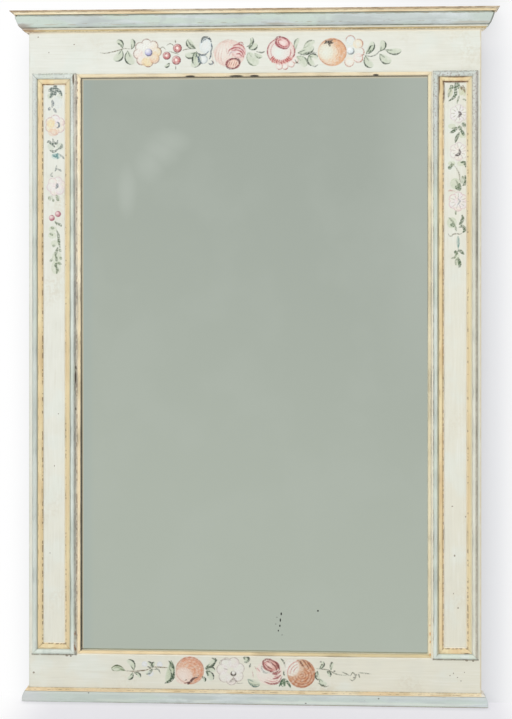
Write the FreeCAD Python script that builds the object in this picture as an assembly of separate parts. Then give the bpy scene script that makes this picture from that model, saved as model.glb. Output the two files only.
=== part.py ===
# Painted overmantel mirror: a jointed board frame with a built-up cornice, a base moulding, two
# narrow mitred panels on the stiles and a mirror plate held in a rebate from behind.
# Millimetres. X runs to the right, Y back to the wall and Z up. The origin is the middle of the
# bottom edge of the back.

import FreeCAD
import Part
import math
import os

V = FreeCAD.Vector

# Mirror plate and the part of the frame that laps over it
glass_width = 620.0
glass_height = 1020.0
glass_thickness = 4.0
glass_arris = 0.5
glass_lap = 5.5
glass_clearance = 3.0

# Boards of the frame
board_thickness = 25.0
lip_thickness = 5.5
stile_width = 92.5
plinth_height = 66.5
frieze_height = 80.0

# Mortise and tenon joints of the boards
tenon_length = 52.0
tenon_thickness = 8.0
tenon_shoulder = 9.0
tenon_back_cheek = 8.5
joint_clearance = 0.2
peg_width = 7.0
peg_sides = 8
peg_length = 20.0
peg_height_share = 0.45
peg_place_shares = (0.25, 0.75)

# Backboards, the strips that press the plate forward, and the pads that it stands on
backboard_thickness = 7.0
backboard_recess = 0.5
backboard_ledge = 14.0
backboard_gap = 0.4
backboard_lap = 8.0
backboard_count = 3
strip_clearance = 0.5
pad_length = 40.0
pad_place_share = 0.25

# Bed moulding, lowest member of the cornice: a flat quarter round under a small fillet
bed_foot_out = 1.5
bed_round_out = 9.0
bed_round_height = 4.0
bed_round_bulge_share = 0.16
bed_fillet_out = 10.8
bed_height = 7.0

# Crown moulding: a round foot that rises into a long sloping face, with a quirk cut over it
crown_foot_out = 12.4
crown_waist_out = 17.2
crown_waist_height = 6.0
crown_foot_bulge_share = 0.14
crown_face_out = 21.8
crown_face_height = 19.5
crown_face_bulge_share = 0.03
crown_quirk_out = 18.8
crown_height = 22.0

# Top fillet of the cornice: a narrow hollow below the cap
fillet_foot_out = 22.4
fillet_foot_height = 0.8
fillet_top_out = 25.2
fillet_hollow_share = 0.12
fillet_height = 3.8

# Cap board: a thin lid with an edge thinned from beneath
cap_seat_out = 25.6
cap_out = 29.5
cap_nosing = 1.2
cap_thickness = 2.6
cap_nail_count = 5
cap_nail_margin_share = 0.06

# Base bead, upper member of the base: a small quarter round
base_bead_foot_out = 6.6
base_bead_top_out = 0.8
base_bead_edge = 0.8
base_bead_height = 5.4
base_bead_bulge_share = 0.12

# Base moulding: a swelling face above a square foot
base_foot_out = 11.2
base_foot_height = 4.2
base_top_out = 7.4
base_swell_share = 0.07
base_height = 17.8

# Panels on the stiles, between the outer margin and a narrow gap beside the sight slip
panel_margin = 5.2
panel_gap = 1.3
panel_overrun = 1.0

# Panel bead: an astragal with a fillet on its outer side
bead_width = 10.5
bead_fillet_width = 1.2
bead_fillet_height = 3.0
bead_inner_height = 4.2
bead_bulge_share = 0.5

# Panel ovolo: a quarter round that falls to the field
ovolo_width = 10.5
ovolo_outer_height = 5.6
ovolo_flat_width = 1.6
ovolo_inner_height = 1.2
ovolo_bulge_share = 0.14

# Sight slip round the plate: a low rounded strip
slip_width = 7.0
slip_height = 4.0
slip_side_height = 1.8

# Keyhole hangers, let flush into the backs of the stiles
hanger_length = 54.0
hanger_width = 16.0
hanger_thickness = 2.0
hanger_corner = 3.0
hanger_drop_from_top = 96.0
hanger_fit = 0.3
keyhole_radius = 4.75
keyhole_slot_width = 5.0
keyhole_rise = 10.0
pocket_width = 13.0
pocket_depth = 9.0

# Square cut nails of the backboards and of the cap board
board_nail_length = 20.0
board_nail_edge = 40.0
cap_nail_length = 24.0
nail_width = 2.2
nail_point_width = 0.9
nail_head_width = 4.4
nail_head_height = 0.9

# Countersunk screws of the hangers
hanger_screw_length = 14.0
hanger_screw_radius = 1.5
hanger_screw_head_radius = 3.0
hanger_screw_edge = 6.0

# Length that cutting bodies run past a face
overrun = 5.0

# Sizes worked out from the ones above
sight_width = glass_width - 2 * glass_lap
sight_height = glass_height - 2 * glass_lap
body_width = sight_width + 2 * stile_width
sight_bottom = base_height + base_bead_height + plinth_height
sight_top = sight_bottom + sight_height
sight_middle = sight_bottom + sight_height / 2
cornice_bottom = sight_top + frieze_height
crown_bottom = cornice_bottom + bed_height
fillet_bottom = crown_bottom + crown_height
cap_bottom = fillet_bottom + fillet_height
front_y = -board_thickness
glass_front_y = front_y + lip_thickness
glass_back_y = glass_front_y + glass_thickness
backboard_back_y = -backboard_recess
backboard_front_y = backboard_back_y - backboard_thickness
glass_rebate = glass_lap + glass_clearance
back_rebate = glass_rebate + backboard_ledge
panel_width = stile_width - panel_margin - panel_gap - slip_width
panel_height = sight_height + 2 * (slip_width + panel_overrun)
panel_centre_x = body_width / 2 - panel_margin - panel_width / 2
hanger_x = body_width / 2 - (stile_width - back_rebate) / 2
hanger_z = sight_top - hanger_drop_from_top


def box(low, high):
    """Box between two opposite corners."""
    low, high = V(*low), V(*high)
    size = high - low
    return Part.makeBox(size.x, size.y, size.z, low)


def prism(points, along):
    """Straight-sided solid over a closed outline."""
    return Part.Face(Part.makePolygon(points + points[:1])).extrude(along)


def section(outline, place):
    """Flat face of a moulding's section. Each point of the outline is its distance across, its
    height, and the bulge of the edge that arrives there, as a share of that edge's length."""
    edges = []
    for start, end in zip(outline[-1:] + outline[:-1], outline):
        across, up, bulge_share = end
        if bulge_share:
            middle = (
                (start[0] + across) / 2 + bulge_share * (up - start[1]),
                (start[1] + up) / 2 - bulge_share * (across - start[0]),
            )
            curve = Part.Arc(place(*start[:2]), place(*middle), place(across, up))
        else:
            curve = Part.LineSegment(place(*start[:2]), place(across, up))
        edges.append(curve.toShape())
    return Part.Face(Part.Wire(edges))


def mitred_wrap(name, outline, bottom):
    """Front length and two returns of a moulding that wraps the front and sides of the boards,
    mitred at the front corners and cut square at the wall."""
    side_x = body_width / 2
    side_face = section(outline, lambda out, rise: V(side_x + out, 0, bottom + rise))
    reach = side_face.BoundBox.XLength
    up = V(0, 0, side_face.BoundBox.ZLength)
    side_room = prism([
        V(side_x, 0, bottom),
        V(side_x + reach, 0, bottom),
        V(side_x + reach, front_y - reach, bottom),
        V(side_x, front_y, bottom),
    ], up)
    side = side_face.extrude(V(0, front_y - reach, 0)).common(side_room)
    front_face = section(outline, lambda out, rise: V(-side_x - reach, front_y - out, bottom + rise))
    front_room = prism([
        V(-side_x, front_y, bottom),
        V(-side_x - reach, front_y - reach, bottom),
        V(side_x + reach, front_y - reach, bottom),
        V(side_x, front_y, bottom),
    ], up)
    return {
        name + "_front": front_face.extrude(V(body_width + 2 * reach, 0, 0)).common(front_room),
        name + "_right": side,
        name + "_left": side.mirror(V(0, 0, 0), V(1, 0, 0)),
    }


def mitred_frame(name, outline, width, height, centre):
    """Four mitred lengths of a moulding that frames a rectangle on the front of the boards. The
    section starts at the outer edge of the rectangle."""
    pieces = {}
    for turn, side in enumerate(("bottom", "right", "top", "left")):
        length, away = (width, height / 2) if turn % 2 == 0 else (height, width / 2)
        half = length / 2
        face = section(outline, lambda across, rise: V(-half, -rise, across - away))
        strip = face.BoundBox.ZLength
        room = prism([
            V(-half, 0, -away),
            V(half, 0, -away),
            V(half - strip, 0, strip - away),
            V(strip - half, 0, strip - away),
        ], V(0, -face.BoundBox.YLength, 0))
        piece = face.extrude(V(length, 0, 0)).common(room)
        piece.rotate(V(0, 0, 0), V(0, 1, 0), -90 * turn)
        piece.translate(centre)
        pieces[name + "_" + side] = piece
    return pieces


def opening_cutter():
    """Room of the sight opening, of the plate's rebate and of the backboards' rebate."""
    steps = (
        (0, front_y - overrun),
        (glass_rebate, glass_front_y),
        (back_rebate, backboard_front_y),
    )
    rooms = [
        box(
            (-sight_width / 2 - grow, start_y, sight_bottom - grow),
            (sight_width / 2 + grow, overrun, sight_top + grow),
        )
        for grow, start_y in steps
    ]
    return rooms[0].multiFuse(rooms[1:])


def tenon(side, rail_edge, into_rail, clearance):
    """Tenon of a stile, or with a clearance the mortise for it. into_rail is 1 above and -1 below."""
    outer = body_width / 2 - tenon_shoulder + clearance
    inner = sight_width / 2 + back_rebate + tenon_shoulder - clearance
    reach = rail_edge + into_rail * (tenon_length + clearance)
    low_z, high_z = sorted((rail_edge, reach))
    back = -tenon_back_cheek + clearance
    piece = box((inner, back - tenon_thickness - 2 * clearance, low_z), (outer, back, high_z))
    if side < 0:
        piece = piece.mirror(V(0, 0, 0), V(1, 0, 0))
    return piece


def tenon_pegs():
    """Riven pegs through the tenons, driven from the back and stopped short of the painted face."""
    inner = sight_width / 2 + back_rebate + tenon_shoulder
    outer = body_width / 2 - tenon_shoulder
    heights = (
        sight_bottom - peg_height_share * tenon_length,
        sight_top + peg_height_share * tenon_length,
    )
    turns = [2 * math.pi * (corner + 0.5) / peg_sides for corner in range(peg_sides)]
    radius = peg_width / 2 / math.cos(math.pi / peg_sides)
    outline = [V(radius * math.cos(turn), 0, radius * math.sin(turn)) for turn in turns]
    peg = prism(outline, V(0, -peg_length, 0))
    return [
        peg.translated(V(side * (inner + share * (outer - inner)), 0, z))
        for side in (-1, 1)
        for share in peg_place_shares
        for z in heights
    ]


def cut_nail(length):
    """Square tapered nail with a flat head, point down, its head's top at the origin."""
    corners = ((-1, -1), (1, -1), (1, 1), (-1, 1), (-1, -1))

    def outline(width, z):
        return Part.makePolygon([V(x * width / 2, y * width / 2, z) for x, y in corners])

    head = Part.Face(outline(nail_head_width, 0)).extrude(V(0, 0, -nail_head_height))
    neck = outline(nail_width, -nail_head_height)
    point = outline(nail_point_width, -length)
    return head.fuse(Part.makeLoft([neck, point], True, True))


def backboard_nails():
    """Two nails at each end of every backboard, into the ledge of the stiles."""
    x = sight_width / 2 + glass_rebate + backboard_ledge / 2
    pitch = (sight_height + 2 * back_rebate) / backboard_count
    low = sight_bottom - back_rebate
    nail = cut_nail(board_nail_length)
    nail.rotate(V(0, 0, 0), V(1, 0, 0), -90)
    return [
        nail.translated(V(side * x, backboard_back_y, z))
        for board in range(backboard_count)
        for z in (low + board * pitch + board_nail_edge, low + (board + 1) * pitch - board_nail_edge)
        for side in (-1, 1)
    ]


def backboards(nails):
    """Boards across the back, lapped over each other at their long edges."""
    half = sight_width / 2 + back_rebate - backboard_gap
    low = sight_bottom - back_rebate + backboard_gap
    pitch = (sight_height + 2 * back_rebate - 2 * backboard_gap) / backboard_count
    middle_y = (backboard_front_y + backboard_back_y) / 2
    pieces = {}
    for board in range(backboard_count):
        bottom = low + board * pitch
        top = bottom + pitch
        lap_below = backboard_lap if board else 0
        lap_above = backboard_lap if board < backboard_count - 1 else 0
        gap = backboard_gap if lap_above else 0
        rear = box((-half, middle_y, bottom), (half, backboard_back_y, top - gap))
        front = box(
            (-half, backboard_front_y, bottom + lap_below),
            (half, middle_y, top + lap_above - gap),
        )
        pieces[f"backboard_{board + 1}"] = rear.fuse(front).removeSplitter().cut(nails)
    return pieces


def glazing_strips():
    """Strips between the plate and the backboards, butted at the corners of the rebate."""
    half_x = sight_width / 2 + glass_rebate
    half_z = sight_height / 2 + glass_rebate
    inner_x = sight_width / 2 + strip_clearance
    inner_z = sight_height / 2 + strip_clearance
    spans = {
        "top": ((-half_x, inner_z), (half_x, half_z)),
        "bottom": ((-half_x, -half_z), (half_x, -inner_z)),
        "left": ((-half_x, -inner_z), (-inner_x, inner_z)),
        "right": ((inner_x, -inner_z), (half_x, inner_z)),
    }
    return {
        "glazing_strip_" + side: box(
            (low_x, glass_back_y, sight_middle + low_z), (high_x, backboard_front_y, sight_middle + high_z)
        )
        for side, ((low_x, low_z), (high_x, high_z)) in spans.items()
    }


def setting_pads():
    """Two pads in the rebate that the plate stands on."""
    bottom = sight_bottom - glass_rebate
    return [
        box(
            (centre - pad_length / 2, glass_front_y, bottom),
            (centre + pad_length / 2, glass_back_y, bottom + glass_clearance),
        )
        for centre in (-pad_place_share * glass_width, pad_place_share * glass_width)
    ]


def mirror_plate():
    """Silvered plate with its sharp edges taken off."""
    half = glass_width / 2
    low_z = sight_bottom - glass_lap
    plate = box((-half, glass_front_y, low_z), (half, glass_back_y, low_z + glass_height))
    return plate.makeChamfer(glass_arris, plate.Edges)


def cap_board():
    """Lid of the cornice, with its front and end edges thinned from beneath."""
    bevel_top = cap_bottom + cap_thickness - cap_nosing

    def outline(out, z):
        x, y = body_width / 2 + out, front_y - out
        return Part.makePolygon([V(-x, 0, z), V(-x, y, z), V(x, y, z), V(x, 0, z), V(-x, 0, z)])

    bevel = Part.makeLoft([outline(cap_seat_out, cap_bottom), outline(cap_out, bevel_top)], True, True)
    nosing = Part.Face(outline(cap_out, bevel_top)).extrude(V(0, 0, cap_nosing))
    return bevel.fuse(nosing).removeSplitter()


def cap_nails():
    """Nails through the cap board into the top edge of the top rail."""
    top = cap_bottom + cap_thickness
    margin = cap_nail_margin_share * body_width
    step = (body_width - 2 * margin) / (cap_nail_count - 1)
    nail = cut_nail(cap_nail_length)
    return [
        nail.translated(V(margin + index * step - body_width / 2, front_y / 2, top))
        for index in range(cap_nail_count)
    ]


def round_ended_slot(width, low_z, high_z, front, back):
    """Upright slot with round ends, centred on X and running from front to back."""
    radius = width / 2
    depth = V(0, front - back, 0)
    middle = box((-radius, front, low_z + radius), (radius, back, high_z - radius))
    ends = [
        Part.makeCylinder(radius, depth.Length, V(0, back, z), V(0, -1, 0))
        for z in (low_z + radius, high_z - radius)
    ]
    return middle.multiFuse(ends).removeSplitter()


def hanger_screws():
    """Two countersunk screws of one hanger, above and below its keyhole."""
    z = hanger_length / 2 - hanger_screw_edge
    sink = hanger_screw_head_radius - hanger_screw_radius
    into = V(0, -1, 0)
    head = Part.makeCone(hanger_screw_head_radius, hanger_screw_radius, sink, V(0, 0, 0), into)
    shank = Part.makeCylinder(hanger_screw_radius, hanger_screw_length - sink, into * sink, into)
    screw = head.fuse(shank).removeSplitter()
    return [screw.translated(V(0, 0, sign * z)) for sign in (-1, 1)]


def keyhole_hanger():
    """Plate with a round hole for a screw's head and a slot above it for the shank."""
    centre = -keyhole_rise / 2
    half_x, half_z = hanger_width / 2, hanger_length / 2
    blank = box((-half_x, -hanger_thickness, -half_z), (half_x, 0, half_z))
    corners = [edge for edge in blank.Edges if abs(edge.Vertexes[0].Y - edge.Vertexes[1].Y) > 0]
    blank = blank.makeFillet(hanger_corner, corners)
    entry = Part.makeCylinder(
        keyhole_radius, hanger_thickness + 2 * overrun, V(0, overrun, centre), V(0, -1, 0)
    )
    low = centre - keyhole_slot_width / 2
    high = low + keyhole_rise + keyhole_slot_width
    slot = round_ended_slot(keyhole_slot_width, low, high, -hanger_thickness - overrun, overrun)
    return blank.cut([entry, slot] + hanger_screws())


def hanger_recess():
    """Shallow recess for the plate and the deeper pocket for the head of the wall's screw."""
    half = keyhole_rise / 2 + pocket_width / 2
    half_x, half_z = hanger_width / 2 + hanger_fit, hanger_length / 2 + hanger_fit
    recess = box((-half_x, -hanger_thickness, -half_z), (half_x, overrun, half_z))
    pocket = round_ended_slot(pocket_width, -half, half, -hanger_thickness - pocket_depth, overrun)
    return recess.fuse(pocket)


def frame_boards(pegs, board_nails, lid_nails):
    """Two rails across the full width, and two stiles tenoned between them."""
    half = body_width / 2
    opening = opening_cutter()
    rails = {"bottom_rail": (0, sight_bottom), "top_rail": (sight_top, cap_bottom)}
    boards = {}
    for name, (low_z, high_z) in rails.items():
        into_rail = 1 if name == "top_rail" else -1
        edge = sight_top if name == "top_rail" else sight_bottom
        mortises = [tenon(side, edge, into_rail, joint_clearance) for side in (-1, 1)]
        rail = box((-half, front_y, low_z), (half, 0, high_z))
        boards[name] = rail.cut([opening] + mortises + pegs + lid_nails)
    for name, side in (("left_stile", -1), ("right_stile", 1)):
        low_x, high_x = sorted((side * half, side * sight_width / 2))
        board = box((low_x, front_y, sight_bottom), (high_x, 0, sight_top))
        tenons = [tenon(side, sight_bottom, -1, 0), tenon(side, sight_top, 1, 0)]
        stile = board.multiFuse(tenons).removeSplitter()
        place = V(side * hanger_x, 0, hanger_z)
        hanger_room = [hanger_recess().translated(place)]
        hanger_room += [screw.translated(place) for screw in hanger_screws()]
        boards[name] = stile.cut([opening] + pegs + board_nails + hanger_room)
    return boards


bed_outline = [
    (0, 0, 0),
    (bed_foot_out, 0, 0),
    (bed_round_out, bed_round_height, bed_round_bulge_share),
    (bed_fillet_out, bed_round_height, 0),
    (bed_fillet_out, bed_height, 0),
    (0, bed_height, 0),
]
crown_outline = [
    (0, 0, 0),
    (crown_foot_out, 0, 0),
    (crown_waist_out, crown_waist_height, crown_foot_bulge_share),
    (crown_face_out, crown_face_height, crown_face_bulge_share),
    (crown_quirk_out, crown_face_height, 0),
    (crown_quirk_out, crown_height, 0),
    (0, crown_height, 0),
]
fillet_outline = [
    (0, 0, 0),
    (fillet_foot_out, 0, 0),
    (fillet_foot_out, fillet_foot_height, 0),
    (fillet_top_out, fillet_height, -fillet_hollow_share),
    (0, fillet_height, 0),
]
base_outline = [
    (0, 0, 0),
    (base_foot_out, 0, 0),
    (base_foot_out, base_foot_height, 0),
    (base_top_out, base_height, base_swell_share),
    (0, base_height, 0),
]
base_bead_outline = [
    (0, 0, 0),
    (base_bead_foot_out, 0, 0),
    (base_bead_foot_out, base_bead_edge, 0),
    (base_bead_top_out, base_bead_height, base_bead_bulge_share),
    (0, base_bead_height, 0),
]
bead_outline = [
    (0, 0, 0),
    (bead_width, 0, 0),
    (bead_width, bead_inner_height, 0),
    (bead_fillet_width, bead_fillet_height, bead_bulge_share),
    (0, bead_fillet_height, 0),
]
ovolo_outline = [
    (0, 0, 0),
    (ovolo_width, 0, 0),
    (ovolo_width, ovolo_inner_height, 0),
    (ovolo_flat_width, ovolo_outer_height, ovolo_bulge_share),
    (0, ovolo_outer_height, 0),
]
slip_outline = [
    (0, 0, 0),
    (slip_width, 0, 0),
    (slip_width, slip_side_height, 0),
    (0, slip_side_height, (slip_height - slip_side_height) / slip_width),
]

pieces = {}
pegs = tenon_pegs()
board_nails = backboard_nails()
lid_nails = cap_nails()
pieces.update(frame_boards(pegs, board_nails, lid_nails))
pieces.update(mitred_wrap("base_moulding", base_outline, 0))
pieces.update(mitred_wrap("base_bead", base_bead_outline, base_height))
pieces.update(mitred_wrap("bed_moulding", bed_outline, cornice_bottom))
pieces.update(mitred_wrap("crown", crown_outline, crown_bottom))
pieces.update(mitred_wrap("cornice_fillet", fillet_outline, fillet_bottom))
pieces["cap_board"] = cap_board().cut(lid_nails)
pieces["cap_nails"] = Part.makeCompound(lid_nails)
for panel, side in (("left_panel", -1), ("right_panel", 1)):
    centre = V(side * panel_centre_x, front_y, sight_middle)
    pieces.update(mitred_frame(panel + "_bead", bead_outline, panel_width, panel_height, centre))
    pieces.update(mitred_frame(
        panel + "_ovolo", ovolo_outline, panel_width - 2 * bead_width, panel_height - 2 * bead_width, centre
    ))
pieces.update(mitred_frame(
    "sight_slip", slip_outline, sight_width + 2 * slip_width, sight_height + 2 * slip_width,
    V(0, front_y, sight_middle),
))
pieces["mirror_plate"] = mirror_plate()
pieces["setting_pads"] = Part.makeCompound(setting_pads())
pieces.update(glazing_strips())
pieces.update(backboards(board_nails))
pieces["backboard_nails"] = Part.makeCompound(board_nails)
pieces["tenon_pegs"] = Part.makeCompound(pegs)
hanger_places = {
    "left_hanger": V(-hanger_x, 0, hanger_z),
    "right_hanger": V(hanger_x, 0, hanger_z),
}
for name, place in hanger_places.items():
    pieces[name] = keyhole_hanger().translated(place)
pieces["hanger_screws"] = Part.makeCompound([
    screw.translated(place) for place in hanger_places.values() for screw in hanger_screws()
])

os.makedirs("parts", exist_ok=True)
for name, shape in pieces.items():
    shape.exportStep(f"parts/{name}.step")
    print(name, len(shape.Solids), "solids, volume", round(shape.Volume), "mm3, valid", shape.isValid())
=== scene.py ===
import bpy
import math
import numpy as np
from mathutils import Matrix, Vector


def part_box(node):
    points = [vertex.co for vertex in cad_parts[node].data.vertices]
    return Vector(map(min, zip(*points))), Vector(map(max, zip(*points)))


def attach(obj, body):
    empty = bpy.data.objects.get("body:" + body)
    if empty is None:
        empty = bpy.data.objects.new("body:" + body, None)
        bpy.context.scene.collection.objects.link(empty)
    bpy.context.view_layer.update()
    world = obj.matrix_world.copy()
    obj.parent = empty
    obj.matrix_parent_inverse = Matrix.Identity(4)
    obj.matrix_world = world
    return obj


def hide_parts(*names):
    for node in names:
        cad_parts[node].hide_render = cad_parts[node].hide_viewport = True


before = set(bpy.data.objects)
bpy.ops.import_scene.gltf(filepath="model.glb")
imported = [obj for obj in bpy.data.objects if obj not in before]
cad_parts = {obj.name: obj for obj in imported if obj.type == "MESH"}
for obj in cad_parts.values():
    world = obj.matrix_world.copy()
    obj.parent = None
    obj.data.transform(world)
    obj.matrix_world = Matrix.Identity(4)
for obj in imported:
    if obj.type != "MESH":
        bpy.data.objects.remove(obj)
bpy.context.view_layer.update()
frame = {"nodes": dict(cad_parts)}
nodes = frame["nodes"]

# Boards of the frame: two rails and two stiles of dressed softwood, 25 mm thick, mortised and
# pegged together. They are painted a cream that has yellowed towards the foot, flecked with dirt
# and rubbed thin along the outer arrises, and their backs are bare brown wood.


def operator(operation, flipped=False):
    """A Python operator that adds a Math node."""
    def apply(wire, *others):
        values = (*others, wire) if flipped else (wire, *others)
        return wire.nodes.add("Math", {"operation": operation}, *values)
    return apply


class Wire:
    """A value on its way through a node tree. Sums on it add Math nodes."""

    __add__, __radd__ = operator("ADD"), operator("ADD", flipped=True)
    __sub__, __rsub__ = operator("SUBTRACT"), operator("SUBTRACT", flipped=True)
    __mul__, __rmul__ = operator("MULTIPLY"), operator("MULTIPLY", flipped=True)
    __truediv__, __abs__ = operator("DIVIDE"), operator("ABSOLUTE")
    least, most = operator("MINIMUM"), operator("MAXIMUM")

    def __init__(self, nodes, socket):
        self.nodes = nodes
        self.socket = socket

    def also(self, output):
        """Another output of the node that this value comes from."""
        return Wire(self.nodes, self.socket.node.outputs[output])


class Nodes:
    """A node tree, of a material or of the world."""

    def __init__(self, tree):
        self.tree = tree

    def add(self, kind, settings, *values, out=0, **named):
        """A node with its settings, and with values or wires in its sockets."""
        node = self.tree.nodes.new("ShaderNode" + kind)
        for setting, choice in settings.items():
            setattr(node, setting, choice)
        pairs = list(zip((socket for socket in node.inputs if socket.enabled), values))
        pairs += [(node.inputs[name], value) for name, value in named.items()]
        for socket, value in pairs:
            if isinstance(value, Wire):
                self.tree.links.new(value.socket, socket)
            else:
                socket.default_value = value
        outputs = [socket for socket in node.outputs if socket.enabled]
        return Wire(self, node.outputs[out] if isinstance(out, str) else outputs[out])

    def show(self, output, surface):
        """Sends a surface to the tree's output node."""
        self.tree.links.new(surface.socket, self.tree.nodes[output].inputs["Surface"])


class Finish(Nodes):
    """A material, worked out from the place on the object in millimetres, with its colour so far."""

    def __init__(self, name, roughness, metallic=0):
        self.material = bpy.data.materials.new(name)
        self.material.use_nodes = True
        super().__init__(self.material.node_tree)
        self.shader = self.tree.nodes["Principled BSDF"]
        self.shader.inputs["Roughness"].default_value = roughness
        self.shader.inputs["Metallic"].default_value = metallic
        self.place = self.add("TexCoord", {}, out="Object")
        parts = self.add("SeparateXYZ", {}, self.place)
        self.x, self.y, self.z = (parts.also(axis) * 1000 for axis in "XYZ")

    def noise(self, size, detail=2, stretch=(1, 1, 1)):
        """Soft random patches about as large as size, in millimetres."""
        place = self.add("Mapping", {}, self.place, Scale=stretch)
        return self.add("TexNoise", {}, Vector=place, Scale=1000 / size, Detail=detail)

    def rise(self, value, start, end):
        """0 up to start, 1 from end, and smooth between them. It falls where the end comes first."""
        return self.add("MapRange", {"interpolation_type": "SMOOTHSTEP"}, value, start, end, 0, 1)

    def patches(self, size, detail, start, end, stretch=(1, 1, 1)):
        """Random patches with edges as soft as start and end are far apart."""
        return self.rise(self.noise(size, detail, stretch), start, end)

    def line(self, value, centre, width):
        """1 where the value is at the centre, falling to 0 at that width from it."""
        return self.rise(abs(value - centre), width, 0)

    def dashes(self, mask, length):
        """Broken run of dirt or of missing paint along an edge."""
        return mask * self.patches(length, 2, 0.45, 0.54)

    def flecks(self, spacing, radius, share):
        """Scattered dots: one may lie in each cell of that spacing."""
        cell = self.add("TexVoronoi", {}, Vector=self.place, Scale=1000 / spacing)
        chosen = self.add("SeparateColor", {}, cell.also("Color"))
        dot = self.rise(cell / (chosen.also("Green") * (radius / spacing)), 1, 0.5)
        return dot * self.rise(chosen, 1 - share, 1.001 - share)

    def spots(self, *places, core=0.3):
        """1 in the middle of oval marks, each with its place on the front and its two radii."""
        found = 0
        for x, z, wide, high in places:
            across, up = (self.x - x) / wide, (self.z - z) / high
            found = self.rise(across * across + up * up, 1.1, core).most(found)
        return found

    def mix(self, mask, under, over):
        """One colour over another. Plain colours are given as on a screen, from 0 to 255."""
        tones = [(*linear(tone), 1) if isinstance(tone, tuple) else tone for tone in (under, over)]
        return self.add("Mix", {"data_type": "RGBA"}, mask, *tones)

    def over(self, mask, *tone):
        """Lays a tone over the colour so far."""
        self.colour = self.mix(mask, self.colour, tone if len(tone) == 3 else tone[0])
        self.feed("Base Color", self.colour)

    def feed(self, socket, value):
        """Sends a value to one of the shader's sockets."""
        self.tree.links.new(value.socket, self.shader.inputs[socket])

    def bump(self, height, depth):
        """Relief, with depth in millimetres between height 0 and 1."""
        self.feed("Normal", self.add("Bump", {}, Strength=1, Distance=depth / 1000, Height=height))


def linear(parts):
    """Red, green and blue as on a screen, from 0 to 255, in the shader's own values."""
    shares = np.array(parts) / 255
    return np.where(shares <= 0.04045, shares / 12.92, ((shares + 0.055) / 1.055) ** 2.4)


def dress(finish, *names):
    """Gives CAD nodes their finish."""
    for name in names:
        nodes[name].data.materials.clear()
        nodes[name].data.materials.append(finish.material)


def start_of(node, axis):
    """Where a CAD node starts along an axis, in millimetres."""
    return getattr(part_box(node)[0], axis) * 1000


def end_of(node, axis):
    """Where a CAD node ends along an axis, in millimetres."""
    return getattr(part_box(node)[1], axis) * 1000


half_width, board_front = -start_of("left_stile", "x"), start_of("left_stile", "y")
sight_half = start_of("right_stile", "x")
foot_high, head_low = end_of("base_bead_front", "z"), start_of("bed_moulding_front", "z")
panel_foot, panel_head = start_of("left_panel_bead_left", "z"), end_of("left_panel_bead_left", "z")
panel_outside, panel_inside = -start_of("left_panel_bead_left", "x"), -end_of("left_panel_bead_right", "x")
slip_foot = start_of("sight_slip_bottom", "z")


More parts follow.
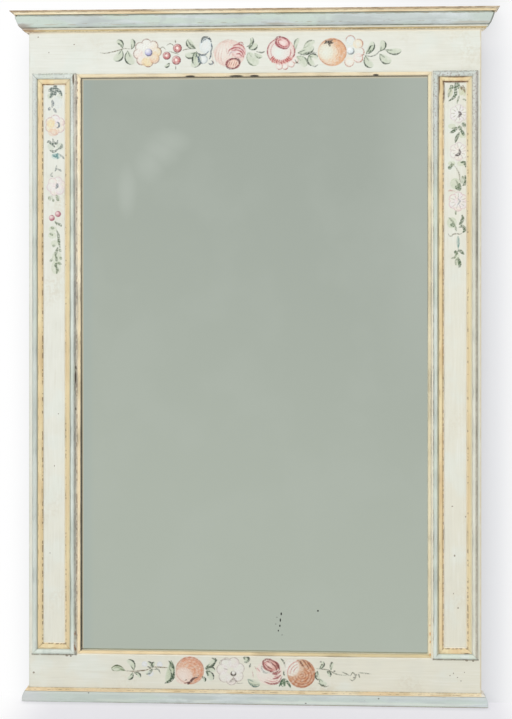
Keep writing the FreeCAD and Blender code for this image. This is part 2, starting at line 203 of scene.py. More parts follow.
def cream_finish(name, grain, marks, garland=False):
    """Cream paint on a board, brushed along its grain, marked in a few places, with shade and light painted
    in by the mouldings.
    """
    cream = Finish(name, 0.55)
    x, z, out = cream.x, cream.z, abs(cream.x)
    cream.colour = (225, 227, 218)
    cream.over(cream.rise(x * 0.9 - z + cream.noise(260) * 500, -1250, 420), 223, 221, 205)
    mottled = cream.patches(34, 4, 0.42, 0.75)
    cream.over(mottled * 0.35, 214, 215, 203)
    cream.over(cream.patches(52, 3, 0.5, 0.68) * 0.4, 222, 229, 222)
    strokes = cream.noise(3, 3, grain)
    cream.over(cream.rise(strokes, 0.5, 0.8) * 0.28, 206, 202, 186)
    cream.over(cream.rise(strokes, 0.5, 0.2) * 0.3, 238, 238, 233)
    stains = cream.patches(85, 5, 0.56, 0.74) * cream.patches(6, 2, 0.4, 0.6)
    cream.over(stains * 0.3, 196, 184, 156)
    if garland:
        touches = cream.add("Attribute", {"attribute_name": "touches"})
        rubbed = 1 - 0.45 * cream.patches(6, 4, 0.58, 0.74)
        cream.over(touches.also("Alpha") * rubbed, touches)
    specks = cream.flecks(9, 1.1, 0.22) * cream.patches(60, 2, 0.42, 0.6)
    cream.over(specks * 0.7, 150, 136, 108)
    pits = cream.flecks(31, 2, 0.3)
    cream.over(pits * 0.7, 118, 106, 84)
    cream.over(cream.spots(*marks) * 0.8, 112, 96, 72)
    ragged = cream.noise(14, 4) * 3
    right = cream.rise(x, -10, 10)
    rubbed_from = half_width - 0.6 - right * 0.6
    arris = cream.rise(out + ragged, rubbed_from, rubbed_from + 2)
    cream.over(arris * 0.85, cream.mix(right, (200, 203, 186), (204, 190, 160)))
    beside = cream.rise(out, sight_half + 7, sight_half + 9)
    beside = beside * cream.rise(out, panel_outside + 2, panel_outside)
    # Painted shade: a dark line on the board under the foot of each panel and, faintly, above the base bead,
    # broken in patches.
    rim = cream.line(z, panel_foot - 0.6, 2.6) * beside
    rim = rim.most(cream.line(z, foot_high, 1.3) * 0.15)
    cream.over(rim * cream.patches(7, 3, 0.3, 0.5) * 0.85, 116, 108, 88)
    by_panel = cream.rise(z, panel_foot - 2, panel_foot) * cream.rise(z, panel_head + 1, panel_head)
    # Painted light: the narrow gap beside the slip on each side is lightened against its shade, and the left
    # one also carries rust-brown patches.
    lit_and_rusted_gap = cream.line(x, 0.8 - panel_inside, 1.3) * by_panel
    cream.over(lit_and_rusted_gap * 0.9, 255, 244, 220)
    cream.over(lit_and_rusted_gap * cream.patches(9, 3, 0.54, 0.6) * 0.8, 150, 110, 74)
    cream.over(cream.line(x, panel_inside - 0.8, 1.2) * by_panel * 0.9, 255, 250, 234)
    # Painted light: the board just under the cornice is lightened against the cornice's shade.
    cream.over(cream.line(z, head_low, 3.4) * 0.8, 250, 241, 222)
    # Painted light and shade on the reveals round the glass: pale at the foot and low on the right, dark as
    # shade at the head, on the upper sides and down the left, darkest low on the left.
    reveal = cream.rise(cream.y, board_front + 0.1, board_front + 0.8)
    reveal = reveal * cream.rise(out, sight_half + 0.6, sight_half + 0.2)
    shaded_reveal_sides = cream.rise(z, 600, 700).most(cream.rise(x, 0.6 - sight_half, 0.2 - sight_half))
    low_left = cream.rise(z, 700, 420) * cream.rise(x, 0, -10)
    deep = cream.mix(low_left, (134, 112, 82), (66, 52, 28))
    cream.over(reveal * 0.9, cream.mix(shaded_reveal_sides, (255, 244, 214), deep))
    # Painted light: the board just under the bottom slip is lightened against the slip's shade.
    lit_ledge_under_slip = cream.line(z, slip_foot - 0.8, 1.5) * cream.rise(out, sight_half + 7, sight_half + 5)
    cream.over(lit_ledge_under_slip * 0.85, 255, 250, 234)
    bare = cream.mix(cream.rise(strokes, 0.3, 0.75), (190, 158, 118), (150, 118, 82))
    cream.over(cream.rise(cream.y + ragged, 0, 0.8), bare)
    cream.feed("Roughness", 0.5 + mottled * 0.12 + specks * 0.2)
    cream.bump(strokes - specks - pits, 0.12)
    return cream


rail = (0.06, 1, 1), (
    (-389, 48.5, 2.2, 2), (-381, 1171.5, 1.4, 1.4), (-317, 1158, 1.6, 1.2), (-362, 1144, 1.2, 1.2),
    (343, 53, 1.3, 1), (349, 57, 1, 1.6), (356, 50, 1.4, 1), (362, 44, 1, 1.3), (368, 59, 1, 1),
    (-330, 79, 3.2, 1.6), (-323, 78.5, 2, 1.8), (372, 79.5, 3, 1.6), (383, 79, 2.4, 1.6),
)
stile = (1, 1, 0.06), (
    (-345, 506, 1.4, 1), (-352, 414, 1, 1.6), (347, 348, 1.8, 1.2), (371, 330, 2.6, 1.6),
    (351, 262, 1.6, 2.2), (357, 171, 1.6, 1.8), (349, 196, 1, 1.4), (-360, 260, 1.2, 1),
)
dress(cream_finish("cream rails", *rail), "top_rail", "bottom_rail")
dress(cream_finish("cream stiles", *stile), "left_stile", "right_stile")
painted_rail = cream_finish("painted cream rails", *rail, garland=True)
painted_stile = cream_finish("painted cream stiles", *stile, garland=True)

# Painted garland of the frieze: flowers, fruit and sprigs in thin oil colour along the top rail.
# Leaves are one pale touch with a dark line down one side, and the roses and the orange are shaded
# over a pale ground.

GREEN, GREEN_PALE, GREEN_DARK, TEAL = (184, 196, 170), (212, 218, 202), (60, 76, 56), (84, 118, 108)
STEM, SLATE, SKY, LILAC = (104, 98, 74), (70, 86, 96), (214, 223, 224), (170, 170, 208)
PINK, PINK_PALE, CRIMSON, WINE = (220, 180, 170), (231, 214, 205), (158, 66, 72), (104, 42, 48)
PEACH, PEACH_PALE, YELLOW = (224, 184, 154), (232, 220, 202), (228, 206, 158)
ROSE_BROWN, CREAM_PALE, SKY_PALE = (136, 98, 84), (232, 233, 227), (232, 235, 234)
GREY_GREEN, FADED_GREEN = (150, 164, 140), (160, 170, 150)


class Painting:
    """A garland laid on touch by touch, in millimetres from its origin on the board's front.

    Its paint lies on a grid, and a path is written as x, z, x, z and so on.
    """

    def __init__(self, origin, low, high, step, seed):
        self.origin = np.array(origin)
        rulers = []
        for start, end in zip(self.origin + low, self.origin + high):
            rulers.append(np.linspace(start, end, int(round((end - start) / step)) + 1))
        self.x, self.z = np.meshgrid(*rulers)
        self.colour = np.full(self.x.shape + (3,), 225.0)
        self.cover, self.rub, self.dry = (np.zeros(self.x.shape) for field in range(3))
        chance = np.random.default_rng(seed)
        for field, shortest, longest in ((self.rub, 3, 14), (self.dry, 2.2, 5.5)):
            for turn, wave, phase in chance.uniform((0, shortest, 0), (math.pi, longest, 6.3), (24, 3)):
                along = self.x * math.cos(turn) + self.z * math.sin(turn)
                field += np.sin(along * 2 * math.pi / wave + phase) / 4

    def window(self, low, high):
        """The rows and columns of the grid between two corners."""
        columns, rows = (np.searchsorted(*ruler) for ruler in (
            (self.x[0], (low[0], high[0])), (self.z[:, 0], (low[1], high[1])),
        ))
        return slice(*rows), slice(*columns)

    def lay(self, window, mask, colour, strength):
        """Colour over what is there, thinner where the brush or the years have left less."""
        mask = (mask * strength * (0.95 + 0.16 * self.rub[window])).clip(0, 1)
        self.cover[window] = self.cover[window] * (1 - mask) + mask
        share = (mask / np.maximum(self.cover[window], 0.001))[..., None]
        self.colour[window] += (np.asarray(colour) - self.colour[window]) * share

    def lines(self, width, colour, strength, *paths):
        """Brush lines through the points of their paths, pointed at both ends."""
        for path in paths:
            points = np.reshape(path, (-1, 2)) + self.origin
            knots = np.vstack([2 * points[0] - points[1], points, 2 * points[-1] - points[-2]])
            track = []
            for before, start, end, after in zip(knots, knots[1:], knots[2:], knots[3:]):
                for share in np.linspace(0, 1, 14):
                    bend = 2 * before - 5 * start + 4 * end - after
                    bend = bend + share * (3 * (start - end) + after - before)
                    track.append(start + share * ((end - before) + share * bend) / 2)
            track = np.array(track)
            radii = width * 0.62 * np.sin(np.linspace(0.2, math.pi - 0.15, len(track))) ** 0.7
            window = self.window(track.min(0) - width, track.max(0) + width)
            reach = np.full(self.x[window].shape, -9.0)
            for (x, z), radius in zip(track, radii):
                reach = np.maximum(reach, radius - np.hypot(self.x[window] - x, self.z[window] - z))
            pressed = 0.86 + 0.3 * self.dry[window]
            self.lay(window, ((reach + 0.4) / 0.8).clip(0, 1) * pressed, colour, strength)

    def petal(self, root, tip, width, body, edge, bend, strength):
        """Touch from its root to its round tip, bulging to one side where it bends."""
        root, tip = root + self.origin, tip + self.origin
        length = np.hypot(*(tip - root))
        ahead = (tip - root) / length
        room = width + abs(bend)
        window = self.window(np.minimum(root, tip) - room, np.maximum(root, tip) + room)
        x, z = self.x[window] - root[0], self.z[window] - root[1]
        along = ((x * ahead[0] + z * ahead[1]) / length).clip(0, 1)
        half = np.maximum(self.half_width(width, along), 0.05)
        across = (z * ahead[0] - x * ahead[1] - bend * 4 * along * (1 - along)) / half
        mask = ((1 - abs(across)) * half / 0.9 + 0.5).clip(0, 1) * (along > 0) * (along < 1)
        blend = (abs(across).clip(0, 1) ** 2 * 0.6 + along * 0.4)[..., None]
        self.lay(window, mask, np.array(body) * (1 - blend) + np.array(edge) * blend, strength)

    def half_width(self, width, along):
        """Half the width of a petal or leaf at a share of its length."""
        widest_near_tip = along ** 1.3
        return width * np.sqrt(widest_near_tip * (1 - widest_near_tip))

    def leaves(self, *touches):
        """Several leaves in their order."""
        for touch in touches:
            self.leaf(*touch)

    def leaf(self, x, z, tip_x, tip_z, width, bend, colour=GREEN_DARK, body=GREEN):
        """Pale green touch with a dark brush line round the side that it bulges to."""
        root, tip = np.array((x, z)), np.array((tip_x, tip_z))
        self.petal(root, tip, width * 1.05, body, GREEN_PALE, bend, 0.66)
        normal = np.array((z - tip_z, tip_x - x)) / np.hypot(*(tip - root))
        edge = []
        for along in (0, 0.2, 0.42, 0.65, 0.85, 0.98):
            out = math.copysign(self.half_width(width, along) * 0.92, bend)
            out = bend * 4 * along * (1 - along) + out
            edge.append(root + (tip - root) * along + normal * out)
        self.lines(1.9, colour, 0.9, edge)
        self.lines(2.5, [part * 0.8 for part in colour], 0.9, edge[2:5])
        self.lines(1.5, colour, 0.75, [root, root + (tip - root) * 0.45])

    def ball(self, x, z, wide, high, body, light, rim, strength, lit=(0, 0)):
        """Round touch, light on one side and darker round its rim."""
        x, z = self.origin + (x, z)
        window = self.window((x - wide, z - high), (x + wide, z + high))
        across, up = (self.x[window] - x) / wide, (self.z[window] - z) / high
        out = np.hypot(across, up)
        mask = ((1 - out) * min(wide, high) / 1.2 + 0.2).clip(0, 1)
        glow = (1 - np.hypot(across - lit[0], up - lit[1]) / 0.95).clip(0, 1)[..., None] ** 0.8
        dark = (out.clip(0, 1) ** 6)[..., None] * 0.8
        tone = np.array(body) * (1 - glow) + np.array(light) * glow
        tone = tone + self.dry[window][..., None] * np.array((7, 10, 10)) * (1 - glow)
        self.lay(window, mask, tone * (1 - dark) + np.array(rim) * dark, strength)

    def washes(self, strength, *groups):
        """Plain thin touches, in groups of one tone and size."""
        for tone, wide, high, *places in groups:
            for place in places:
                self.ball(*place, wide, high, tone, tone, tone, strength)

    def ring(self, x, z, wide, high, tilt, width, colour, strength, start=0.3, end=6.4):
        """Oval brush line, leaning by the tilt."""
        angles = np.linspace(start, end, 13)
        along, across = wide * np.cos(angles), high * np.sin(angles)
        to_x = x + along * math.cos(tilt) - across * math.sin(tilt)
        to_z = z + along * math.sin(tilt) + across * math.cos(tilt)
        self.lines(width, colour, strength, np.column_stack((to_x, to_z)))

    def arcs(self, x, z, tilt, colour, strength, *bands):
        """Curved brush lines round one centre, each with its radius, width, start and end."""
        for radius, width, start, end in bands:
            self.ring(x, z, radius, radius * 0.92, tilt, width, colour, strength, start, end)

    def berry(self, x, z, radius):
        """Red berry with two curved lines and a light middle."""
        self.ball(x, z, radius, radius, (202, 128, 126), (242, 222, 214), WINE, 0.95, (-0.3, 0.35))
        self.ring(x, z, radius * 0.9, radius * 0.9, 0, 1.6, WINE, 0.9, -2.6, 1.5)
        self.ring(x, z, radius * 0.5, radius * 0.5, 0, 1.5, CRIMSON, 0.8, 0.2, 4.6)
        self.ball(x, z, radius * 0.3, radius * 0.3, (244, 228, 220), (250, 244, 238), PINK, 0.9)

    def flower(self, x, z, radius, petals, tones, outline, strength, turn):
        """Open flower: round petals side by side, each with a thin line round its outer edge."""
        small = 2.2 * radius / petals + 2
        for index in range(petals):
            angle = turn + 2 * math.pi * index / petals
            middle = x + (radius - small) * math.cos(angle), z + (radius - small) * math.sin(angle)
            tone = tones[index % len(tones)]
            self.ball(*middle, small, small, tone, CREAM_PALE, tone, strength, (-0.3, 0.4))
            self.ring(*middle, small * 0.95, small * 0.95, angle, 1.5, outline, strength * 1.25, -1.5, 1.5)

    def heart(self, x, z, radius, colour):
        """Middle of a flower, with a darker line round it."""
        self.ball(x, z, radius, radius, colour, (244, 245, 246), colour, 0.95, (-0.35, 0.45))
        deep = [part * 0.58 for part in colour]
        self.ring(x, z, radius * 0.85, radius * 0.85, 0, 2, deep, 0.9, -2.6, 0.9)


def paint_skin(name, painting, board, ground):
    """Skin of paint that carries a garland: a fine grid raised by the touches, closed behind."""
    rows, columns = painting.x.shape
    bpy.ops.object.select_all(action="DESELECT")
    bpy.ops.mesh.primitive_grid_add(x_subdivisions=columns - 1, y_subdivisions=rows - 1, size=2)
    skin = bpy.context.active_object
    skin.name = name
    mesh = skin.data
    flat = np.empty(len(mesh.vertices) * 3)
    mesh.vertices.foreach_get("co", flat)
    across, up = (flat.reshape(-1, 3)[:, :2].T + 1) / 2
    column, row = np.rint(across * (columns - 1)).astype(int), np.rint(up * (rows - 1)).astype(int)
    cover = painting.cover[row, column]
    thickness = 0.15 + 0.08 * cover
    front = start_of(board, "y") - thickness
    placed = np.column_stack([painting.x[row, column], front, painting.z[row, column]]) / 1000
    mesh.vertices.foreach_set("co", placed.ravel())
    tones = linear(painting.colour[row, column].clip(0, 255))
    touches = mesh.color_attributes.new("touches", "FLOAT_COLOR", "POINT")
    touches.data.foreach_set("color", np.column_stack([tones, cover]).ravel())
    bpy.ops.object.mode_set(mode="EDIT")
    bpy.ops.mesh.select_mode(type="EDGE")
    bpy.ops.mesh.select_all(action="DESELECT")
    bpy.ops.mesh.select_non_manifold()
    bpy.ops.mesh.extrude_region_move(TRANSFORM_OT_translate={"value": (0, 0.0003, 0)})
    bpy.ops.mesh.edge_face_add()
    bpy.ops.mesh.select_all(action="SELECT")
    bpy.ops.mesh.normals_make_consistent(inside=False)
    bpy.ops.object.mode_set(mode="OBJECT")
    mesh.materials.append(ground.material)
    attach(skin, "root")


frieze = Painting((0, 1100), (-280, 8), (266, 72), 0.64, 3)
frieze.lines(
    1.7, STEM, 0.8, (-271, 43, -262, 42, -250, 44, -238, 47, -228, 50, -214, 49),
    (-166, 48, -160, 52, -154, 47), (-153, 55, -146, 58, -140, 54), (-138, 65, -137, 59),
    (-149, 45, -140, 42, -131, 39), (-137, 19, -137, 12), (-125, 46, -118, 48, -104, 49),
)
frieze.leaves(
    (-231, 51, -241, 65, 9, -2), (-232, 48, -246, 29, 14, 3), (-215, 49, -215, 67, 8, -2),
    (-222, 46, -212, 22, 15, -3), (-148, 24, -157, 18, 6, 1.5), (-102, 49, -116, 66, 12, 2.5),
    (-101, 42, -121, 38, 11, 3), (-99, 42, -107, 16, 16, 3.5), (-100, 44, -103, 20, 8, -2),
)
frieze.lines(2.4, GREEN_DARK, 0.7, (-116, 64, -110, 55, -103, 49), (-232, 55, -240, 60))
frieze.ball(-187, 41, 22, 22, PEACH_PALE, CREAM_PALE, PEACH_PALE, 0.5, (-0.3, 0.5))
frieze.flower(
    -187, 42, 25, 8, [YELLOW, PEACH_PALE, CREAM_PALE, CREAM_PALE, PINK_PALE, PINK_PALE, YELLOW, PEACH],
    ROSE_BROWN, 0.66, 0.1,
)
frieze.ball(-190, 26, 8, 8, YELLOW, (232, 214, 170), YELLOW, 0.6)
frieze.ball(-173, 36, 7, 9, YELLOW, PEACH_PALE, PEACH, 0.5)
frieze.heart(-185, 43, 7, LILAC)
for berry in ((-134, 50, 8), (-153, 37, 7.2), (-136, 29, 8.2)):
    frieze.berry(*berry)
frieze.ball(-84, 54, 12, 14, SKY, SKY_PALE, SKY, 0.75)
frieze.ball(-89, 30, 9, 8.5, SKY, SKY_PALE, SLATE, 0.75)
frieze.lines(3.4, (58, 74, 80), 0.95, (-92, 59, -90, 66, -84, 69, -77, 66, -74, 60))
frieze.lines(1.6, SLATE, 0.7, (-90, 60, -87, 64, -83, 65))
frieze.lines(
    2.4, SLATE, 0.9, (-74, 58, -73, 50, -75, 42), (-101, 38, -96, 31, -97, 24),
    (-99, 42, -92, 38, -84, 39, -79, 44), (-75, 46, -75, 36, -78, 30), (-97, 36, -96, 29, -90, 22),
    (-79, 23, -75, 21, -71, 24, -74, 28),
)
frieze.ball(-42, 40, 28, 24, (226, 204, 193), (233, 226, 217), (220, 190, 178), 0.85, (-0.5, 0.2))
frieze.lines(
    1.3, (190, 148, 136), 0.5, *((x, 18, x - 4, 34, x, 52) for x in (-68, -63, -58, -53)),
    (-62, 58, -46, 64, -30, 62), (-56, 60, -44, 61), (-48, 50, -46, 36),
)
frieze.ball(-26, 44, 13, 13, (228, 196, 190), (238, 222, 218), (190, 120, 118), 0.7, (-0.2, -0.2))
frieze.lines(
    2.1, CRIMSON, 0.85, (-45, 40, -41, 47, -31, 50, -22, 48, -14, 38), (-35, 54, -27, 56, -20, 54, -15, 47),
    (-37, 45, -28, 46, -20, 41, -17, 32), (-30, 39, -24, 39, -20, 34), (-27, 58, -21, 59, -17, 55),
)
frieze.lines(1.5, (176, 140, 166), 0.7, (-43, 36, -39, 42, -30, 43), (-24, 50, -17, 45))
frieze.ball(-36, 22, 13.5, 10, (226, 184, 168), (238, 220, 204), CRIMSON, 0.95)
frieze.ring(-36, 22, 12, 8.4, 0.35, 2.8, WINE, 0.9)
frieze.ring(-36, 22, 12, 8.4, 0.35, 3.6, (84, 44, 46), 0.85, -0.6, 1.1)
frieze.lines(1.4, (168, 96, 84), 0.8, *((x, 17 + x % 3, x + 3, 26) for x in (-44, -40, -36, -32)))
frieze.lines(2.4, GREEN_DARK, 0.8, (-5, 66, -4, 56, -12, 51), (5, 43, 14, 41, 20, 43))
frieze.leaves(
    (-9, 49, 7, 56, 10, -2), (-10, 42, 8, 20, 18, -2, GREY_GREEN), (-8, 50, -2, 68, 6, -1.5),
    (2, 40, 16, 34, 7, -1.5, GREY_GREEN),
)
frieze.ball(48, 43, 25, 24, (230, 212, 206), (225, 233, 226), PINK, 0.88, (-0.2, -0.1))
frieze.ring(48, 43, 23.5, 22.5, 0, 1.7, (140, 66, 76), 0.9, 1.9, 3.9)
frieze.ring(50, 43, 19.5, 19, 0, 1.3, (190, 120, 124), 0.7, 2.2, 3.8)
frieze.ring(49, 43, 23.5, 22, 0, 2.2, (150, 66, 74), 0.9, -0.9, 0.5)
frieze.ring(46, 42, 19.5, 18, 0, 1.5, (172, 92, 94), 0.8, -0.8, 0.3)
for turn in np.linspace(3.72, 5.6, 10):
    root = (48 + 15 * math.cos(turn), 43 + 15 * math.sin(turn))
    tip = (48 + 24 * math.cos(turn + 0.08), 42 + (23 + 2 * math.sin(7 * turn)) * math.sin(turn + 0.08))
    frieze.petal(root, tip, 4.6, (200, 124, 114), (228, 176, 164), 0.8, 0.85)
    fold = (root[0] * 0.4 + tip[0] * 0.6 - 1.2, root[1] * 0.4 + tip[1] * 0.6)
    frieze.lines(1.6, CRIMSON, 0.9, (*root, *fold, *tip))
for x, z in ((55, 17), (66, 21), (73, 28), (45, 17)):
    frieze.ball(x, z, 6.5, 6, PINK_PALE, CREAM_PALE, PINK, 0.75)
    frieze.ring(x, z, 6, 5.5, -0.8, 1.4, (168, 104, 96), 0.8, -1.6, 1.2)
frieze.ball(51, 58, 13.5, 10, (224, 176, 172), (238, 222, 216), CRIMSON, 0.95)
frieze.ring(51, 58, 13.2, 8.8, -0.6, 2.8, (136, 58, 68), 0.92)
frieze.ring(51, 57, 8.4, 4.6, -0.6, 1.8, CRIMSON, 0.85, 2, 6.4)
frieze.ring(52, 56.5, 4.2, 1.6, -0.6, 1.5, (240, 224, 220), 0.8, 0.2, 3.4)
frieze.leaves(
    (74, 46, 80, 66, 7, 2, FADED_GREEN), (78, 40, 106, 51, 13, -2.5),
    (88, 48, 108, 60, 9, 2, FADED_GREEN), (76, 34, 92, 16, 14, 2.5, GREY_GREEN),
    (98, 36, 106, 17, 10, -2.5), (96, 34, 113, 31, 8, 2),
)
frieze.lines(
    2, GREEN_DARK, 0.75, (84, 37, 98, 41, 111, 40), (73, 28, 76, 23, 80, 21), (104, 17, 108, 16, 113, 19),
)
frieze.ball(138, 41, 25.5, 25, (228, 192, 158), (228, 224, 206), (212, 164, 128), 0.88, (-0.42, -0.05))
frieze.arcs(138, 41, 0, (214, 152, 104), 0.5, (21, 5, -1.3, 1.7), (15, 3.4, -1.1, 1.5), (24, 2, -1.6, 2.4))
frieze.arcs(138, 41, 0, (172, 114, 88), 0.75, (24.6, 1.6, -0.6, 2.6), (24.8, 1.1, 3.6, 4.9))
frieze.arcs(137, 41, 0, (192, 130, 92), 0.6, (18, 1.1, -1, 1.6), (12, 1.1, -0.9, 1.4))
frieze.ball(127, 42, 14, 15, (224, 226, 210), (228, 232, 222), (226, 210, 186), 0.75)
frieze.lines(
    3.2, (64, 56, 48), 0.95, (124, 56, 131, 59, 139, 62), (132, 60, 133, 55, 134, 51), (126, 61, 132, 58),
    (133, 58, 140, 57),
)
for x, z, tone, facing in (
    (170, 61, SKY, 1.6), (183, 55, (232, 214, 178), 0.3), (185, 41, (222, 224, 214), -0.2),
    (183, 31, PINK_PALE, -0.9), (168, 24, PEACH_PALE, -1.8),
):
    frieze.ball(x, z, 9, 8.5, tone, CREAM_PALE, tone, 0.7)
    frieze.ring(x, z, 8.6, 8, facing, 1.7, (178, 122, 106), 0.85, -1.7, 1.7)
frieze.heart(170, 43, 7, SKY)
frieze.lines(1.8, GREEN_DARK, 0.7, (192, 36, 205, 33, 215, 36, 221, 42, 234, 45))
frieze.leaves(
    (197, 37, 209, 59, 11, -2.5), (196, 34, 209, 14, 13, -3), (203, 38, 210, 52, 6, 1.5),
    (222, 42, 226, 61, 11, -2.5), (221, 37, 241, 23, 14, -3), (231, 44, 259, 43, 11, -2.5),
)
paint_skin("frieze_garland", frieze, "top_rail", painted_rail)

# Painted garland of the plinth, by the same hand and in the same colours on the bottom rail: a
# peach, a pale flower, a striped rose and an orange one, between thin sprigs.

plinth = Painting((0, 0), (-258, 27), (212, 83), 0.6, 5)
plinth.lines(
    2.1, (112, 96, 66), 0.9, (-228, 54, -212, 53, -200, 54, -188, 56, -178, 60),
    (-178, 61, -165, 61, -150, 60),
)
plinth.ring(-241, 58, 9, 4.5, 0.1, 1.6, (92, 108, 62), 0.85)
plinth.lines(2, (84, 100, 58), 0.9, (-247, 57, -241, 60, -233, 57, -227, 54))
plinth.leaves(
    (-227, 54, -250, 58, 10, -2, (84, 100, 58)), (-211, 55, -223, 73, 10, -3.5), (-213, 51, -222, 39, 7, 2),
    (-210, 51, -199, 42, 6, 1.5), (-178, 60, -187, 70, 5, -1.2), (-177, 60, -174, 70, 5, 1.2),
    (-145, 73, -153, 35, 14, 3, (58, 84, 52), (158, 178, 138)), (-178, 58, -190, 49, 5, 1.2),
)
for x, z in ((-192, 66), (-181, 49), (-165, 66)):
    plinth.ball(x, z, 5.5, 5, (206, 212, 224), (230, 232, 238), (196, 204, 218), 0.6)
plinth.lines(
    2.2, GREEN_DARK, 0.75, (-187, 62, -180, 59), (-183, 48, -178, 56), (-176, 57, -168, 57, -164, 50),
    (-147, 58, -144, 48, -147, 40), (-141, 60, -145, 62),
)
plinth.lines(4.6, (52, 76, 50), 0.95, (-140, 54, -141, 45, -147, 37, -156, 33))
plinth.lines(3.4, (52, 76, 50), 0.9, (-149, 72, -143, 64, -140, 58))
plinth.ball(-112, 56, 25.5, 25, (216, 164, 134), (230, 214, 202), (196, 142, 118), 0.88, (-0.7, -0.5))
plinth.ball(-123, 46, 16, 15, (230, 212, 200), (231, 220, 210), (228, 206, 192), 0.75)
plinth.arcs(-112, 56, 0, (200, 122, 88), 0.4, (21, 3, -1.2, 2.2), (15, 2.6, -1, 2), (9, 2.2, -0.8, 1.6))
plinth.arcs(-112, 56, 0, (178, 116, 92), 0.7, (24.6, 1.3, -0.3, 3), (24.8, 0.8, 3.3, 5.4))
plinth.lines(
    3, (82, 50, 46), 0.92, (-118, 34, -111, 36, -105, 42, -98, 44), (-111, 36, -107, 42),
    (-116, 32, -112, 35),
)
plinth.lines(1.4, (120, 84, 74), 0.75, (-121, 38, -117, 40), (-122, 33, -118, 34), (-98, 48, -96, 46))
plinth.leaves(
    (-85, 60, -68, 76, 9, -2), (-84, 58, -67, 55, 9, 2), (-84, 55, -72, 39, 11, 2),
    (-90, 46, -86, 36, 5, 1.2),
)
plinth.lines(3.4, GREEN_DARK, 0.9, (-68, 68, -66, 75, -73, 78), (-83, 60, -74, 64, -68, 70))
plinth.lines(2.6, GREEN_DARK, 0.85, (-82, 56, -80, 47))
plinth.flower(-40, 56, 25, 7, [(226, 222, 220), (224, 212, 212)], (168, 152, 144), 0.5, 0.3)
plinth.lines(
    1.4, (140, 128, 120), 0.7, (-58, 74, -50, 76, -42, 75), (-58, 74, -60, 68), (-52, 60, -44, 58),
    (-30, 34, -18, 35), *((-35, 45, -35 + x, 37 - abs(x) / 3) for x in (-9, -5, -1, 4, 8)),
)
plinth.ball(-35, 52, 4.8, 4.6, (206, 204, 196), (240, 240, 234), (110, 100, 88), 0.9, (-0.3, 0.4))
plinth.ring(-35, 52, 4.2, 4, 0, 2.6, (70, 62, 52), 0.95, 2.4, 6.6)
plinth.lines(3.6, GREEN_DARK, 0.92, (-17, 80, -12, 82, -8, 77, -12, 72, -16, 72))
plinth.lines(2.8, GREEN_DARK, 0.85, (-5, 69, -7, 62), (-8, 36, 0, 32, 11, 33))
plinth.lines(1.4, CRIMSON, 0.5, (2, 65, 7, 56), (-2, 57, 0, 45))
plinth.leaves((-10, 42, 12, 33, 12, -2.5, TEAL), (-18, 80, -10, 72, 9, 1.5), (14, 66, 27, 54, 7, -2.5))
plinth.ball(28, 55, 23, 23, (228, 208, 198), (232, 228, 220), PINK_PALE, 0.75, (-0.5, 0))
plinth.lines(
    2.8, (142, 66, 68), 0.88, (19, 38, 32, 34, 44, 37, 50, 47), (34, 43, 42, 45, 48, 50),
    (33, 52, 41, 52, 48, 57),
)
plinth.lines(1.6, (196, 124, 122), 0.75, (22, 41, 34, 38, 44, 41), (36, 47, 44, 49), (6, 62, 12, 55))
plinth.lines(1.2, (140, 150, 158), 0.7, (14, 62, 20, 55, 30, 53), (18, 66, 22, 60, 30, 57))
plinth.ball(31, 66, 15, 10, (206, 150, 138), (234, 206, 196), CRIMSON, 0.95, (-0.3, 0.2))
plinth.ring(31, 66, 15.5, 9.6, -0.55, 2.6, (128, 66, 62), 0.9)
plinth.lines(
    2.2, (112, 58, 52), 0.85, (36, 74, 44, 67, 46, 58), (33, 70, 39, 64, 41, 57), (24, 74, 31, 71, 35, 67),
    (21, 68, 27, 63, 33, 60), (40, 70, 44, 62),
)
plinth.lines(1.6, (238, 220, 212), 0.8, (22, 72, 28, 68, 32, 63), (27, 74, 33, 68))
plinth.lines(2.6, GREEN_DARK, 0.82, (48, 79, 54, 72, 56, 63), (53, 57, 54, 49), (61, 38, 66, 29))
plinth.leaf(54, 44, 54, 29, 11, -1.5)
plinth.lines(
    3.8, (54, 88, 54), 0.9, (52, 43, 49, 36, 45, 30), (56, 43, 61, 36, 65, 28), (54, 42, 54, 36, 55, 31),
)
plinth.ball(84, 53, 25, 25.5, (202, 148, 112), (226, 222, 208), (178, 122, 90), 0.93, (-0.62, 0.5))
plinth.ball(67, 64, 14, 16, (226, 224, 214), (232, 230, 222), (226, 212, 200), 0.85)
plinth.arcs(
    85, 50, 0, (164, 100, 68), 0.8, (22, 1.8, -2.6, 1.2), (17, 1.7, -2.9, 0.9), (12, 1.6, -3.2, 1.4),
    (7, 1.6, -3, 1.6), (2.6, 1.6, -2, 3),
)
plinth.arcs(84, 53, 0, (196, 128, 122), 0.8, (24.4, 1.5, 1.7, 3.3), (19, 1.3, 1.9, 3.2), (14, 1.2, 2, 3))
plinth.lines(
    2.4, (126, 78, 54), 0.85, (78, 77, 84, 72, 90, 62), (86, 77, 93, 70, 97, 62), (82, 74, 86, 66),
    (94, 74, 101, 65),
)
plinth.lines(1.6, (222, 180, 140), 0.8, (84, 76, 90, 68), (91, 74, 97, 66))
plinth.lines(
    1.9, (92, 98, 74), 0.86, (110, 62, 130, 60, 145, 53, 166, 50), (155, 57, 170, 50),
    (170, 50, 174, 56, 179, 49, 174, 42, 168, 45), (184, 56, 206, 54), (184, 54, 186, 47),
    (113, 37, 124, 31, 132, 32),
)
plinth.leaves(
    (112, 58, 115, 42, 8, -1.5), (116, 62, 122, 75, 7, -1.5), (129, 58, 134, 48, 6, 1.2),
    (116, 44, 128, 34, 10, -2, (122, 136, 112)), (136, 60, 140, 73, 5, 1.2, (126, 136, 116)),
)
plinth.washes(0.8, (
    (64, 66, 52), 2.2, 1.8, (118, 74), (120, 69), (137, 73), (111, 49), (113, 43), (122, 33), (142, 58),
    (176, 47), (180, 52),
))
